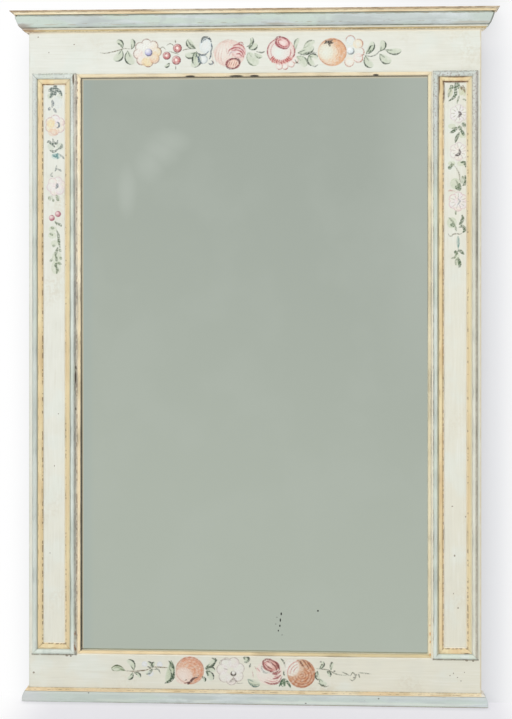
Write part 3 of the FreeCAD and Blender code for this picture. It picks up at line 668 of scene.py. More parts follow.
paint_skin("plinth_garland", plinth, "bottom_rail", painted_rail)

# Painted drops of the stiles: inside each tall panel a garland hangs straight down, with dark
# leaves at its head, open flowers a hand apart, and a thin stem that runs out between small leaves.

drop = Painting((-352, 900), (-20, -158), (20, 194), 0.6, 7)
drop.washes(
    0.55, ((192, 200, 178), 5, 6, (-8, 167), (10, 167)), ((214, 220, 217), 9, 12, (6, 156)),
    ((196, 205, 188), 7, 7, (-6, 78), (10, 78)), ((176, 202, 198), 9, 6, (3, 61)),
    ((186, 192, 174), 4.5, 4, (-6, -12), (6, -12)), ((198, 206, 182), 8, 6, (-3, -68), (-4, -79), (1, -93)),
    ((196, 204, 180), 9, 12, (4, -118), (3, -136)),
)
drop.flower(
    1, 116, 18, 6, [PINK_PALE, (228, 218, 224), YELLOW, (232, 218, 172), PEACH, PEACH_PALE],
    (198, 168, 172), 0.6, 0.5,
)
drop.ball(-7, 118, 7, 8, YELLOW, (230, 220, 176), YELLOW, 0.55)
drop.ball(-3, 103, 9, 7, PEACH, PEACH_PALE, PEACH, 0.5)
drop.ring(4, 116, 4.5, 5, 0, 2.6, SLATE, 0.8, -1.5, 1.5)
drop.flower(3, 8, 17, 6, [PINK_PALE, (226, 216, 222)], (206, 186, 190), 0.5, 0.2)
drop.lines(
    5.2, (84, 100, 94), 0.88, (-1, 181, -6, 179, -10, 176), (-3, 179, -4, 174, -5, 168, -8, 165),
    (-1, 181, 4, 179, 10, 174, 13, 168), (3, 177, 1, 174, 1, 168), (3, 186, -1, 181),
)
drop.lines(
    4.1, (112, 122, 126), 0.8, (-4, 160, -3, 154, -4, 147), (-8, 147, -10, 142), (-1, 145, 3, 138),
    (4, 13, 5, 8, 3, 4),
)
drop.lines(
    3.7, (88, 102, 92), 0.85, (-13, 85, -10, 87, -4, 82, 1, 77), (-3, 92, -1, 85, 4, 84, 6, 89),
    (-8, 71, -1, 69, 6, 73), (13, 82, 12, 77, 6, 73),
)
drop.lines(4.1, (88, 134, 134), 0.8, (3, 64, 1, 59), (6, 66, 4, 62, -1, 62, -4, 64), (4, 61, 6, 57))
drop.lines(
    2.9, (124, 134, 128), 0.75, (6, 66, 12, 62, 15, 59, 19, 55), (4, 39, 10, 36, 12, 34),
    (4, 45, 3, 39, 1, 34), (-4, 32, -6, 27, -3, 25),
)
drop.lines(
    3.8, (128, 142, 114), 0.78, (-10, -10, -8, -17), (3, -8, 6, -14), (-3, -15, -1, -19), (4, -15, 8, -17),
    (-6, -65, -1, -67), (-8, -75, -3, -79), (-4, -98, 1, -97), (-4, -121, -8, -125), (10, -118, 13, -121),
    (6, -127, 12, -130), (12, -107, 8, -104),
)
drop.lines(
    4, (100, 114, 88), 0.84, (1, -54, 4, -58, 10, -60, 12, -63), (4, -70, 7, -79, 8, -90, 10, -102),
    (6, -100, 3, -109, 2, -116), (3, -116, 4, -125), (4, -128, 1, -134), (1, -132, 5, -139, 4, -146),
)
for x, z in ((-5, -48), (6, -41)):
    drop.ball(x, z, 5.4, 5.2, (190, 132, 140), (238, 218, 216), (150, 80, 92), 0.95, (-0.3, 0.35))
    drop.ring(x, z, 4.8, 4.6, 0, 1.8, (152, 84, 96), 0.85, -2.6, 1.8)
paint_skin("left_drop_garland", drop, "left_stile", painted_stile)

drop = Painting((353, 900), (-20, -158), (20, 194), 0.6, 9)
drop.washes(
    0.55, ((192, 196, 158), 5, 8, (-10, 169), (9, 171), (16, 169)),
    ((194, 203, 172), 7, 5, (-7, 110), (12, 94), (-7, 45), (9, 45)), ((158, 172, 146), 4, 7, (12, 16)),
    ((188, 200, 170), 9, 10, (-1, 10), (-7, -58)), ((164, 182, 172), 3.5, 11, (4, -91)),
    ((196, 206, 180), 5, 7, (2, -117), (4, -127)),
)
for x, z, radius, tones, outline, cover, veins, first in (
    (5, 132, 16, (CREAM_PALE, (226, 218, 226)), (204, 188, 192), 0.5, (148, 142, 120), 0.2),
    (5, 66, 16, (PINK_PALE, CREAM_PALE), (204, 188, 192), 0.5, (168, 158, 148), 0.6),
    (4, -21, 17, (PINK_PALE, (226, 218, 224)), (206, 174, 176), 0.55, (150, 146, 132), 0.4),
):
    drop.flower(x, z, radius, 6, tones, outline, cover, 0.5)
    for turn in np.linspace(first, first + 5.8, 11):
        out = np.array((math.cos(turn), math.sin(turn)))
        near, halfway, far = (out * reach + (x, z) for reach in (6, 10, 13.5 + 2.5 * math.sin(5 * turn)))
        drop.lines(1.3, veins, 0.5, (*near, *halfway + (0.6, 0), *far))
drop.lines(
    4.7, (70, 92, 60), 0.9, (-1, 185, -1, 178, 0, 171, -1, 164, -5, 159, -12, 154),
    (-10, 99, -5, 101, 0, 105, 2, 108), (9, 103, 12, 99, 14, 94), (6, 99, 2, 91, -1, 82),
    (9, 47, 14, 47, 18, 42, 18, 37), (16, 24, 18, 17, 16, 10, 12, 7), (11, -45, 12, -51, 9, -58, 6, -61),
    (6, -66, 11, -64, 15, -68, 15, -72, 12, -75), (4, -106, 9, -108, 14, -113),
    (4, -119, 6, -125, 7, -132, 5, -136),
)
drop.lines(
    5.6, (82, 104, 72), 0.85, (2, 185, 4, 181, 4, 176), (-8, 181, -7, 178, -10, 174), (6, 110, 9, 103),
    (12, 115, 16, 110), (-12, 37, -8, 40), (6, 10, 7, -2), (0, 5, 6, 0), (-8, -61, -3, -63),
    (-1, -108, 2, -112),
)
drop.lines(3.4, (108, 88, 56), 0.8, (12, 181, 14, 176, 16, 169), (9, 180, 11, 173))
drop.lines(
    2.9, (124, 134, 108), 0.75, (-8, 173, -12, 166, -13, 160), (6, 164, 4, 157, 2, 150), (12, 157, 18, 155),
    (2, 108, -7, 106), (-8, 47, -5, 40), (-10, 42, -3, 44), (11, 23, 14, 19), (0, 16, 4, 9, 6, 3),
    (0, -37, 0, -44), (-12, -49, -7, -54, -1, -61), (-1, -63, 0, -68, 1, -73),
    (2, -113, -3, -119, -8, -120), (4, -119, 0, -125, 0, -132),
)
drop.lines(
    2.2, (136, 132, 112), 0.75, (-3, 42, 2, 35, 6, 26, 7, 17, 9, 10),
    (-13, -77, -11, -81, -7, -81, -4, -78, 2, -77, 7, -78, 12, -75),
)
drop.lines(2.9, (116, 148, 140), 0.75, (4, -82, 5, -92, 4, -105))
drop.lines(2.4, (186, 130, 122), 0.7, (-13, -3, -10, -2, -1, -3))
drop.lines(4.1, (76, 66, 66), 0.9, (5, 136, 8, 131, 4, 126), (6, 70, 7, 64, 3, 60, -1, 60))
drop.lines(2.6, (146, 150, 152), 0.8, (4, -16, 7, -21, 3, -27))
paint_skin("right_drop_garland", drop, "right_stile", painted_stile)

# Base moulding and base bead: the lowest member is a swelling softwood moulding painted blue-grey,
# glued and sprigged to the foot of the boards and mitred at the corners. A small ochre quarter
# round sits on top of it.


def weathered(node, finish, rubbed=0.5):
    """Moulding length with its arrises rubbed round and its faces left a little uneven."""
    piece = bpy.data.objects.new(node + "_worn", nodes[node].data.copy())
    bpy.context.collection.objects.link(piece)
    bpy.ops.object.select_all(action="DESELECT")
    bpy.context.view_layer.objects.active = piece
    piece.select_set(True)
    bpy.ops.object.mode_set(mode="EDIT")
    bpy.ops.mesh.select_mode(type="EDGE")
    bpy.ops.mesh.select_all(action="SELECT")
    bpy.ops.mesh.remove_doubles(threshold=0.00001)
    bpy.ops.mesh.dissolve_limited(angle_limit=math.radians(0.5))
    bpy.ops.object.mode_set(mode="OBJECT")
    bevel = piece.modifiers.new("rubbed", "BEVEL")
    bevel.width = rubbed / 1000
    bevel.segments = 2
    bevel.limit_method = "ANGLE"
    bevel.angle_limit = math.radians(35)
    bpy.ops.object.modifier_apply(modifier="rubbed")
    low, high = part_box(node)
    sides = list(high - low)
    length = max(sides)
    along, cut_every = sides.index(length), 0.011
    for edge in piece.data.edges:
        ends = [piece.data.vertices[index].co for index in edge.vertices]
        edge.select = abs(ends[0][along] - ends[1][along]) > length / 2
    bpy.ops.object.mode_set(mode="EDIT")
    bpy.ops.mesh.subdivide(number_cuts=max(2, int(length / cut_every)))
    bpy.ops.object.mode_set(mode="OBJECT")
    grain = bpy.data.textures.get("plane wander") or bpy.data.textures.new("plane wander", "CLOUDS")
    grain.noise_scale = 0.045
    uneven = piece.modifiers.new("wander", "DISPLACE")
    uneven.texture = grain
    uneven.texture_coords = "LOCAL"
    uneven.strength = 0.00035
    uneven.mid_level = 1
    bpy.ops.object.modifier_apply(modifier="wander")
    bpy.ops.object.shade_smooth_by_angle(angle=math.radians(32))
    piece.data.materials.clear()
    piece.data.materials.append(finish.material)
    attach(piece, "root")
    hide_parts(node)


ALONG_X, ALONG_Z = (0.12, 0.4, 1), (1, 1, 0.16)


def age(finish, tones, glaze_and_shade, hollow_glaze_and_shade, arris, seed, grain=ALONG_X):
    """Distemper in streaky patches, with glaze, and painted shade, laid in the hollows and joins, and the
    arrises rubbed bare.
    """
    finish.colour, light, deep, tint = tones
    streaks, fine = finish.noise(9 + seed, 4, grain), finish.noise(2.2, 3)
    finish.over(finish.rise(streaks, 0.38, 0.6), *light)
    finish.over(finish.patches(13 + seed, 3, 0.46, 0.58, grain) * 0.8, *tint)
    finish.over(finish.patches(7 + seed, 4, 0.5, 0.66, grain) * 0.8, *deep)
    finish.over(finish.patches(26 + seed, 3, 0.54, 0.66) * 0.4, *deep)
    finish.over(finish.rise(fine, 0.5, 0.75) * 0.35, *deep)
    finish.over(hollow_glaze_and_shade * (0.3 + 0.6 * finish.patches(9 + seed, 4, 0.36, 0.58)), *glaze_and_shade)
    chipped = finish.rise(arris * 0.55 + finish.noise(7 + seed, 5), 1, 1.14)
    finish.over(chipped * 0.8, 150, 124, 90)
    dots = finish.flecks(7, 1, 0.25)
    finish.over(dots * 0.5, 128, 112, 88)
    finish.feed("Roughness", 0.48 + 0.14 * streaks + 0.2 * hollow_glaze_and_shade)
    finish.bump(fine * 0.5 + streaks * 0.5 - chipped - dots * 0.6, 0.16)


BLUES = (198, 207, 204), (211, 219, 219), (184, 192, 190), (199, 213, 200)
# Tones of the glaze and painted shade laid in the hollows and joins.
BLUE_GLAZE_AND_SHADE, OCHRE_GLAZE_AND_SHADE = (128, 132, 116), (164, 130, 86)

base = Finish("blue base moulding", 0.5)
# The dark line along the foot, where the moulding stands on the floor, is painted shade; the faint one at
# the step above it is glaze.
hollow_glaze_and_shade = base.line(base.z, 0, 2.2).most(base.line(base.z, 4.2, 0.8) * 0.25)
age(base, BLUES, BLUE_GLAZE_AND_SHADE, hollow_glaze_and_shade, base.line(base.z, 0, 1.4).most(base.line(base.z, 17, 1.2)), 1)
# Painted shade and highlight: the upper part is darkened and the lower round lightened, in streaky patches.
shaded_upper_part, lit_lower_round = base.rise(base.z, 5, 12), base.line(base.z, 4.6, 4)
green_end, faded_end = base.rise(base.x, -60, -320), base.rise(base.x, -340, -400)
worn_foot = base.line(base.z, 0.2, 2.6) * base.patches(30, 3, 0.36, 0.56, ALONG_X)
dents = base.spots((218.8, 13.5, 1.6, 1.4), (-290, 16, 1.4, 1), (92, 4, 2, 1))
base.over(shaded_upper_part * base.patches(18, 3, 0.3, 0.5, ALONG_X) * 0.5, 190, 200, 200)
base.over(lit_lower_round * base.patches(14, 3, 0.42, 0.56, ALONG_X) * 0.7, 222, 228, 220)
base.over(green_end * 0.55, 190, 201, 188)
base.over(worn_foot * 0.6, 146, 128, 100)
base.over(faded_end * 0.5, 206, 204, 210)
base.over(base.rise(base.z, 12, 16) * 0.4, 216, 220, 214)
base.over(dents * 0.85, 88, 84, 72)

bead = Finish("ochre base bead", 0.5)
bead_tones = (240, 222, 184), (246, 232, 200), (224, 200, 156), (240, 214, 174)
hollow_glaze_and_shade = (bead.line(bead.z, foot_high, 0.8) * 0.1).most(bead.line(bead.z, foot_high - 2.6, 0.9) * 0.15)
age(bead, bead_tones, OCHRE_GLAZE_AND_SHADE, hollow_glaze_and_shade, bead.line(bead.z, foot_high - 3, 1.2), 2)
bead.over(bead.dashes(bead.line(bead.z, foot_high, 1.4), 4) * 0.3, 120, 92, 62)
worn_end = bead.rise(bead.x, half_width - 1, half_width + 1)
bead.over(worn_end * 0.85, 234, 230, 220)
RUNS = ("front", "right", "left")
for side in RUNS:
    weathered("base_moulding_" + side, base)
    weathered("base_bead_" + side, bead, 0.35)

# Cornice, built up in four members: an ochre bed moulding, a blue-grey crown with a quirk cut above
# its face, a narrow ochre fillet and a thin lid. The lengths are mitred and nailed to the top rail.

bed = Finish("ochre bed moulding", 0.5)
bed_tones = (214, 192, 142), (226, 206, 160), (198, 172, 122), (218, 184, 134)
over_foot = bed.z - head_low
age(bed, bed_tones, OCHRE_GLAZE_AND_SHADE, bed.line(over_foot, 3.8, 0.7) * 0.4, bed.line(over_foot, 4, 1), 3)
bed.over(bed.rise(over_foot, 3.7, 4.3) * 0.9, 222, 223, 210)
# Painted light: the foot of the bed moulding, where its round curves under, is lightened against its shade.
bed.over(bed.rise(over_foot, 1.8, 0.8) * 0.9, 242, 232, 206)
dirt = bed.dashes(bed.line(over_foot, 1.6, 1.2), 3.4)
bed.over(dirt * (0.35 + 0.3 * bed.rise(bed.x, 40, 140)), 110, 88, 60)
soiled = bed.rise(bed.x, -360, -396) * bed.patches(8, 3, 0.34, 0.5)
bed.over(soiled * 0.6, 152, 116, 92)

crown = Finish("blue crown moulding", 0.5)
over_foot = crown.z - start_of("crown_front", "z")
# The dark line at the crown's foot, where it sits on the bed moulding, is painted shade; the one in the
# quirk above is glaze and shade.
hollow_glaze_and_shade = (crown.line(over_foot, 20.6, 1.6) * 0.55).most(crown.line(over_foot, 0.2, 1.6) * 0.9)
arris = crown.line(over_foot, 18.9, 1.2).most(crown.line(over_foot, 6.2, 1))
age(crown, BLUES, BLUE_GLAZE_AND_SHADE, hollow_glaze_and_shade, arris, 4)
drip = crown.line(over_foot, 3.4, 3) * crown.patches(18, 3, 0.5, 0.58, ALONG_X)
crown.over(drip * 0.6, 180, 170, 150)
green_line = crown.line(over_foot, 19.6, 1.4) * crown.patches(9, 3, 0.4, 0.5, ALONG_X)
crown.over(green_line * 0.6, 158, 172, 150)
right = crown.rise(crown.x, 0, 10)
from_mitre = abs(half_width + board_front - abs(crown.x) - crown.y)
mitre = crown.rise(from_mitre, 1.2 + 2 * right, 0.6 + 1.2 * right)
crown.over(mitre * (0.25 + right * 0.6), 104, 108, 98)
streaks = crown.spots((-356, 1190.6, 15, 1), (-318, 1190.2, 9, 0.9), (-240, 1189.8, 12, 0.8))
crown.over(streaks * 0.4, 180, 154, 122)
soiled = crown.rise(crown.x, -384, -404) * crown.rise(over_foot, 9, 4)
crown.over(soiled * 0.7, 150, 134, 122)

fillet = Finish("ochre cornice fillet", 0.5)
fillet_tones = (247, 233, 198), (250, 240, 212), (230, 210, 170), (244, 224, 188)
fillet_low = start_of("cornice_fillet_front", "z")
hollow_glaze_and_shade, arris = fillet.line(fillet.z, fillet_low, 0.7) * 0.36, fillet.line(fillet.z, fillet_low + 3.4, 1)
age(fillet, fillet_tones, OCHRE_GLAZE_AND_SHADE, hollow_glaze_and_shade, arris, 5)
for side in RUNS:
    weathered("bed_moulding_" + side, bed, 0.35)
    weathered("crown_" + side, crown)
    weathered("cornice_fillet_" + side, fillet, 0.35)

cap = Finish("worn cap board", 0.6)
cap_tones = (224, 206, 178), (232, 220, 198), (194, 170, 142), (214, 188, 156)
arris = cap.rise(cap.z, fillet_low + 4, fillet_low + 5.2)
age(cap, cap_tones, OCHRE_GLAZE_AND_SHADE, arris * 0.25, arris, 6)
cap_top = end_of("cap_board", "z")
bare = cap.rise(cap.z, cap_top - 0.5, cap_top - 0.15)
fibres = cap.patches(5, 4, 0.35, 0.65, (0.06, 1, 1))
cap.over(bare, cap.mix(fibres, (178, 160, 134), (152, 130, 102)))
weathered("cap_board", cap, 0.4)

# Side panels: each stile carries a tall panel laid on its face, a blue-grey astragal bead outside
# and an ochre quarter round inside it, mitred at the four corners and pinned to the board.

bead_wide = 10.5
panel_low, panel_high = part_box("right_panel_bead_left")[0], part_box("right_panel_bead_right")[1]
panel_middle, panel_half = (panel_low + panel_high) * 500, (panel_high - panel_low) * 500


def into_frame(finish, x, middle, half):
    """Distance in from the outer edge of a mitred frame."""
    return (half.x - abs(x - middle.x)).least(half.z - abs(finish.z - middle.z))


def panel_masks(finish):
    """How far in a place is, and 1 on the right panel, on a panel's right half and on its uprights."""
    out = abs(finish.x)
    into = into_frame(finish, out, panel_middle, panel_half)
    on_right = finish.rise(finish.x, -10, 10)
    middles = -panel_middle.x, panel_middle.x
    past_left, past_right = (finish.rise(finish.x, middle - 1, middle + 1) for middle in middles)
    right_half = past_left - on_right + past_right
    to_side, to_end = panel_half.x - abs(out - panel_middle.x), panel_half.z - abs(finish.z - panel_middle.z)
    return into, on_right, right_half, finish.rise(to_end - to_side, -0.4, 0.4)


astragal = Finish("blue panel bead", 0.5)
x, z = astragal.x, astragal.z
into, on_right, right_half, upright = panel_masks(astragal)
# Glaze and painted shade between bead and ovolo, weaker on the panels' right halves, where it faces the
# light.
hollow_glaze_and_shade = astragal.line(into, bead_wide - 0.4, 1.6) * (0.2 - 0.15 * right_half)
arris = astragal.line(into, 1.2, 0.9).most(astragal.line(into, 5.5, 1.6) * 0.6)
bead_tones = (216, 224, 214), (226, 233, 224), (202, 211, 202), (217, 227, 211)
age(astragal, bead_tones, (140, 142, 118), hollow_glaze_and_shade, arris, 7, ALONG_Z)
rightward, leftward = right_half * upright, (1 - right_half) * upright
far_right, far_left = rightward * on_right, leftward * (1 - on_right)
mottled = astragal.patches(6, 3, 0.36, 0.6)
astragal.over(far_right * 0.7, 222, 220, 202)
astragal.over(far_left * 0.5, 206, 212, 204)
# Painted shade in the valley between bead and ovolo on the right panel's left side.
shaded_valley = leftward * on_right * astragal.rise(into, 5.8, 8.2)
astragal.over(shaded_valley * 0.8, 176, 174, 146)
# Painted light: the bead's inner edge beside the ovolo is lightened against its shade, near white on the
# right panel's right side.
lit_corner = upright * (far_right + shaded_valley).least(1) * astragal.rise(into, 8.8, 9.6)
astragal.over(lit_corner * 0.85, astragal.mix(far_right, (228, 220, 188), (252, 252, 246)))
# Painted shade on the right-hand flank of the beads on the panels' right sides, which face away from the
# light; it reaches further in high up on the left panel.
lean = astragal.rise(z, 700, 1080) * (1 - on_right) * 2.2
start, end = 0.2 + lean + 0.6 * on_right, 2.8 + lean * 0.6 + 1.8 * on_right
shaded_flank = rightward * astragal.rise(into - start, 0, 1) * astragal.rise(into - end, 1.9, 0)
astragal.over(shaded_flank * (0.3 + 0.2 * mottled + 0.1 * on_right), 158, 144, 126)
outer = far_left * astragal.rise(into, 2.4, 0.6)
astragal.over(outer * (0.3 + 0.5 * mottled), 224, 218, 206)
# Painted light: the bead's outer side next to the slip is lightened near white against its shade.
lit_by_slip = astragal.rise(abs(x), panel_middle.x, panel_middle.x - 1) * upright
astragal.over(lit_by_slip * astragal.rise(into - lean, 1.1, 0.5) * 0.9, 255, 246, 230)
high_up = astragal.rise(z, 880, 1080)
astragal.over(high_up * (0.2 + 0.25 * on_right), 190, 193, 196)
grime = high_up * astragal.patches(3.4, 3, 0.52, 0.64)
astragal.over(grime * (0.25 + 0.3 * on_right), 142, 126, 112)
gash = astragal.spots(
    (-313.2, 570.5, 1.6, 13), (-313.2, 588, 1.3, 3), (-313.2, 515, 1.3, 3), (-317.4, 1096, 1.7, 12),
)
astragal.over(gash * 0.9, 84, 62, 34)
rust = astragal.spots((-313.6, 97, 3, 10), (-314.4, 120, 1.6, 5))
astragal.over(rust * mottled * 0.9, 150, 104, 66)
# Painted shade and dirt: a dark broken line in the gap between the left panel's inner bead and the slip,
# stronger near the ends.
near_end = astragal.rise(abs(z - panel_middle.z), panel_half.z - 130, panel_half.z - 20)
seam_shade_and_dirt = astragal.line(x, end_of("left_panel_bead_right", "x"), 1.4) * (0.3 + 0.6 * near_end)
astragal.over(astragal.dashes(seam_shade_and_dirt, 13) * 0.9, 58, 50, 38)
# Painted shade along the panel's foot edge, with brown dashes of dirt along its foot and head edges.
foot_shade_and_dirt, head_edge = astragal.line(z, panel_foot, 1.8), astragal.line(z, panel_head, 1.8)
astragal.over(foot_shade_and_dirt * 0.6, 104, 104, 90)
astragal.over(astragal.dashes(head_edge, 3).most(astragal.dashes(foot_shade_and_dirt, 6)) * 0.8, 92, 74, 54)

ovolo = Finish("ochre panel ovolo", 0.5)
z, past_left = ovolo.z, ovolo.rise(ovolo.x, -panel_middle.x - 1, 1 - panel_middle.x)
into, on_right, right_half, upright = panel_masks(ovolo)
ovolo_tones = (228, 207, 162), (235, 220, 178), (216, 190, 144), (229, 204, 160)
hollow_glaze_and_shade, arris = ovolo.line(into, bead_wide, 1) * 0.4, ovolo.line(into, bead_wide + 1.6, 1.2)
age(ovolo, ovolo_tones, OCHRE_GLAZE_AND_SHADE, hollow_glaze_and_shade, arris, 8, ALONG_Z)
rightward, leftward = right_half * upright, (1 - right_half) * upright
from_field = 2 * bead_wide - into - 0.8 * past_left * upright + 0.4 * (1 - on_right) * (1 - past_left)
high_left = ovolo.rise(z, 800, 1040) * (1 - on_right)
ovolo.over(right_half * high_left * 0.6, 224, 214, 184)
ovolo.over(rightward * 0.45, 208, 194, 156)
by_bead = rightward * ovolo.rise(into - bead_wide - 1.6 * on_right, 2.2, 0.6)
ovolo.over(by_bead * 0.85, 208, 202, 172)
# Painted light: the ovolo's edge against the bead on the right panel's right side is lightened near white.
ovolo.over(rightward * on_right * ovolo.rise(into, bead_wide + 0.7, bead_wide + 0.1), 250, 246, 230)
# Painted shade where the ovolo sinks beside the bead on the panels' left sides, darker on the left panel.
sunk_shade = leftward * ovolo.rise(into, bead_wide + 1.8, bead_wide + 0.6)
ovolo.over(sunk_shade * 0.75, ovolo.mix(on_right, (184, 178, 148), (214, 202, 164)))
broken = ovolo.noise(6)
low_down = ovolo.rise(z, 330, 190) * 0.1
dots = ovolo.rise(broken, 0.58 - low_down, 0.64 - low_down)
dots = dots.most(ovolo.rise(broken, 0.5, 0.57) * (1 - right_half))
# Painted shade and dirt at the ovolo's toe: a brown line, strong under the head piece, where shade falls on
# the field, and dark dots of dirt along it.
under_head = ovolo.rise(z, panel_head - 23, panel_head - 20)
toe_shade_and_dots = ovolo.line(from_field, 2, 1.6)
ovolo.over(toe_shade_and_dots * (0.08 + 0.7 * under_head), 146, 106, 66)
ovolo.over(toe_shade_and_dots * dots * 0.8, 100, 70, 42)
toe_line = ovolo.line(from_field, 3, 2.2) * on_right * leftward * (1 - ovolo.rise(z, 880, 910) * 0.6)
ovolo.over(toe_line * (0.35 + 0.3 * broken), 146, 104, 54)
# Painted light: the very toe of the ovolo is lightened near white against the shade on the field, less on
# the right sides.
ovolo.over(ovolo.rise(from_field, 1.5, 0.8) * (0.9 - 0.5 * rightward), 255, 250, 236)
rusted = ovolo.spots(
    (324.2, 1084, 1.8, 20), (332.4, 1072, 1.8, 22), (352, 1087.2, 26, 1.9), (352, 1095.4, 28, 1.6),
)
ovolo.over(rusted * (0.2 + broken), 92, 54, 30)
ovolo.over(ovolo.spots((372, 92.4, 6, 1.3)) * 0.9, 60, 46, 34)
SIDES = ("bottom", "right", "top", "left")
for panel in ("left_panel", "right_panel"):
    for side in SIDES:
        weathered(f"{panel}_bead_{side}", astragal)
        weathered(f"{panel}_ovolo_{side}", ovolo, 0.3)

# Sight slip: a low rounded ochre strip mitred round the sight opening. Its inner edge is painted
# dark as shade on the left and along the head, and a few gaps along the head are painted black as
# shadow.

slip_low, slip_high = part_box("sight_slip_left")[0] * 1000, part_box("sight_slip_right")[1] * 1000
slip = Finish("ochre sight slip", 0.5)
x, z = slip.x, slip.z
into = into_frame(slip, x, (slip_low + slip_high) / 2, (slip_high - slip_low) / 2)
slip_tones = (249, 237, 204), (252, 243, 216), (246, 230, 192), (248, 232, 196)
age(slip, slip_tones, OCHRE_GLAZE_AND_SHADE, slip.line(into, 7, 1.2) * 0.28, slip.line(into, 6, 1), 9, ALONG_Z)
slip.over(slip.rise(x, sight_half - 1.5, sight_half - 0.5) * 0.7, 226, 216, 182)
by_foot, toward_right = slip.rise(z, slip_low.z + 8, slip_low.z + 7.5), slip.rise(x, -60, 160)
slip.over(by_foot * 0.8, slip.mix(toward_right, (240, 216, 170), (214, 196, 148)))
# Painted light: the slip's outer side is lightened near white against its shade.
slip.over(slip.rise(into, 1.8, 0.8) * 0.95, 255, 252, 238)
spotted = slip.spots((308.3, 126, 1.4, 4), (308.6, 112, 1.2, 3), (308.3, 90, 1.8, 3), (308, 141, 1, 2))
slip.over(spotted * 0.8, 206, 150, 84)
stained = slip.spots((-310.4, 1090, 1.2, 3.4), (-310.6, 1077, 1.2, 3), (-310.2, 1063, 1, 2.6))
slip.over(stained * 0.7, 140, 92, 60)
low = slip.rise(z, 700, 420)
by_left = slip.rise(x, 1.5 - sight_half, 0.5 - sight_half)
by_head = slip.rise(z, slip_high.z - 8, slip_high.z - 7.5)
slip.over(by_left * low * 0.5, 240, 220, 180)
slip.over(by_head * 0.6, 228, 212, 178)
# Painted shade: the slip's inner edge against the glass is dark on the left, deepest low down, and along the
# head.
shaded_inner_edge = slip.rise(into + 0.8 * low, 6.4, 7.3)
slip.over(shaded_inner_edge * by_left * 0.85, slip.mix(low, (96, 74, 46), (54, 40, 20)))
slip.over(slip.line(into, 7.2, 0.8) * by_head * 0.8, 88, 66, 42)
# Painted shadow: black marks where the head slip stands off the glass.
shadowed_gaps = slip.spots((-111, 1100, 10, 1.9), (-30, 1099.8, 14, 2), (2, 1099.8, 9, 2.2), (214, 1100, 6, 2))
slip.over(shadowed_gaps * 0.95, 40, 32, 24)
# Painted shade and dirt: broken dark dashes along the left slip's outer edge, in the gap beside the bead.
slip.over(slip.dashes(slip.line(x, slip_low.x, 1), 16) * 0.8, 70, 60, 48)
for side in SIDES:
    weathered("sight_slip_" + side, slip, 0.35)

# Mirror plate, 4 mm thick, silvered on its back and gone slightly grey-green with age, and foxed
# with a few black specks. Reflections are painted into the silver: soft pale clouds and patches, a
# darker head, the ochre slip along its edges and shade low on the left. It stands on two cork pads
# in the rebate.

plate = Finish("old silvered plate", 0.04, 1)
x, z = plate.x, plate.z
plate.colour = (175, 183, 171)
# Painted reflection: the silver is darker towards the head and a little towards the right.
plate.over(plate.rise(z + x * 0.35, 120, 1100), 165, 173, 163)
# Painted reflections: soft pale clouds in the silver.
reflection_clouds = plate.patches(150, 3, 0.46, 0.66)
plate.over(reflection_clouds * 0.16, 184, 191, 182)
plate.over(plate.line(x, -sight_half, 26) * 0.4, 160, 176, 174)
# Painted reflections: pale blurred patches high on the left, and a paler area high on the right.
reflected_patches = plate.spots(
    (-148, 986, 44, 28), (-164, 970, 42, 36), (-184, 946, 32, 38), (-224, 899, 20, 56), core=-0.9,
)
reflected_patches = reflected_patches * (0.5 + 0.5 * plate.noise(40))
reflected_light = plate.rise(x, 190, 290) * plate.rise(z, 480, 760) * 0.3
plate.over(reflected_patches.most(reflected_light), 186, 193, 184)
# Painted reflection of the ochre slip along the left and top edges of the glass.
edge = plate.rise(x, 4.2 - sight_half, 1.6 - sight_half)
plate_top = start_of("sight_slip_top", "z")
edge = edge.most(plate.rise(z, plate_top - 4.4, plate_top - 2) * 0.7)
plate.over(edge * 0.8, 206, 194, 166)
# Painted shade: a dark line low down the left edge of the glass.
shaded_gap = plate.rise(x, 2 - sight_half, 1 - sight_half) * plate.rise(z, 700, 420)
plate.over(shaded_gap * 0.75, 52, 44, 26)
foxed = plate.flecks(90, 2.2, 0.04).most(plate.spots(
    (48.6, 156, 1.6, 3), (47, 145, 1.4, 3.6), (46.2, 135, 1.5, 2.4), (43.5, 126.5, 1.2, 2),
    (113, 162, 1.8, 1.8), (41, 150, 0.9, 0.9), (39, 138, 0.9, 0.9), (50, 119, 0.9, 0.9),
))
plate.over(foxed, 60, 62, 58)
plate.feed("Roughness", 0.03 + foxed * 0.5 + reflection_clouds * 0.03)
dress(plate, "mirror_plate")

cork = Finish("cork pads", 0.9)
cork.colour = (150, 112, 74)
grains = cork.noise(1.6, 4)
cork.over(cork.rise(grains, 0.4, 0.6), 196, 156, 110)
cork.bump(grains, 0.3)
dress(cork, "setting_pads")

# Backboards, glazing strips and pegs: three thin softwood boards, ship-lapped and nailed into the
# back rebate, close the back and press the strips against the plate. Riven pegs show beside them
# at the corner joints. None of it was ever painted.


def bare_wood(name, grain, tint):
    """Unpainted softwood, gone brown, with its growth rings drawn out along the grain."""
    wood = Finish(name, 0.75)
    wood.colour = tuple(part + 34 for part in tint)
    rings, long_fibres = wood.noise(5, 5, grain), wood.noise(1.1, 2, grain)
    wood.over(wood.rise(rings, 0.38, 0.66), *tint)
    wood.over(wood.rise(long_fibres, 0.5, 0.75) * 0.45, *(part - 40 for part in tint))
    grime = wood.patches(120, 4, 0.5, 0.72)
    wood.over(grime * 0.35, 92, 74, 56)
    wood.feed("Roughness", 0.7 + 0.15 * grime)
    wood.bump(rings * 0.6 + long_fibres * 0.4, 0.25)
    return wood


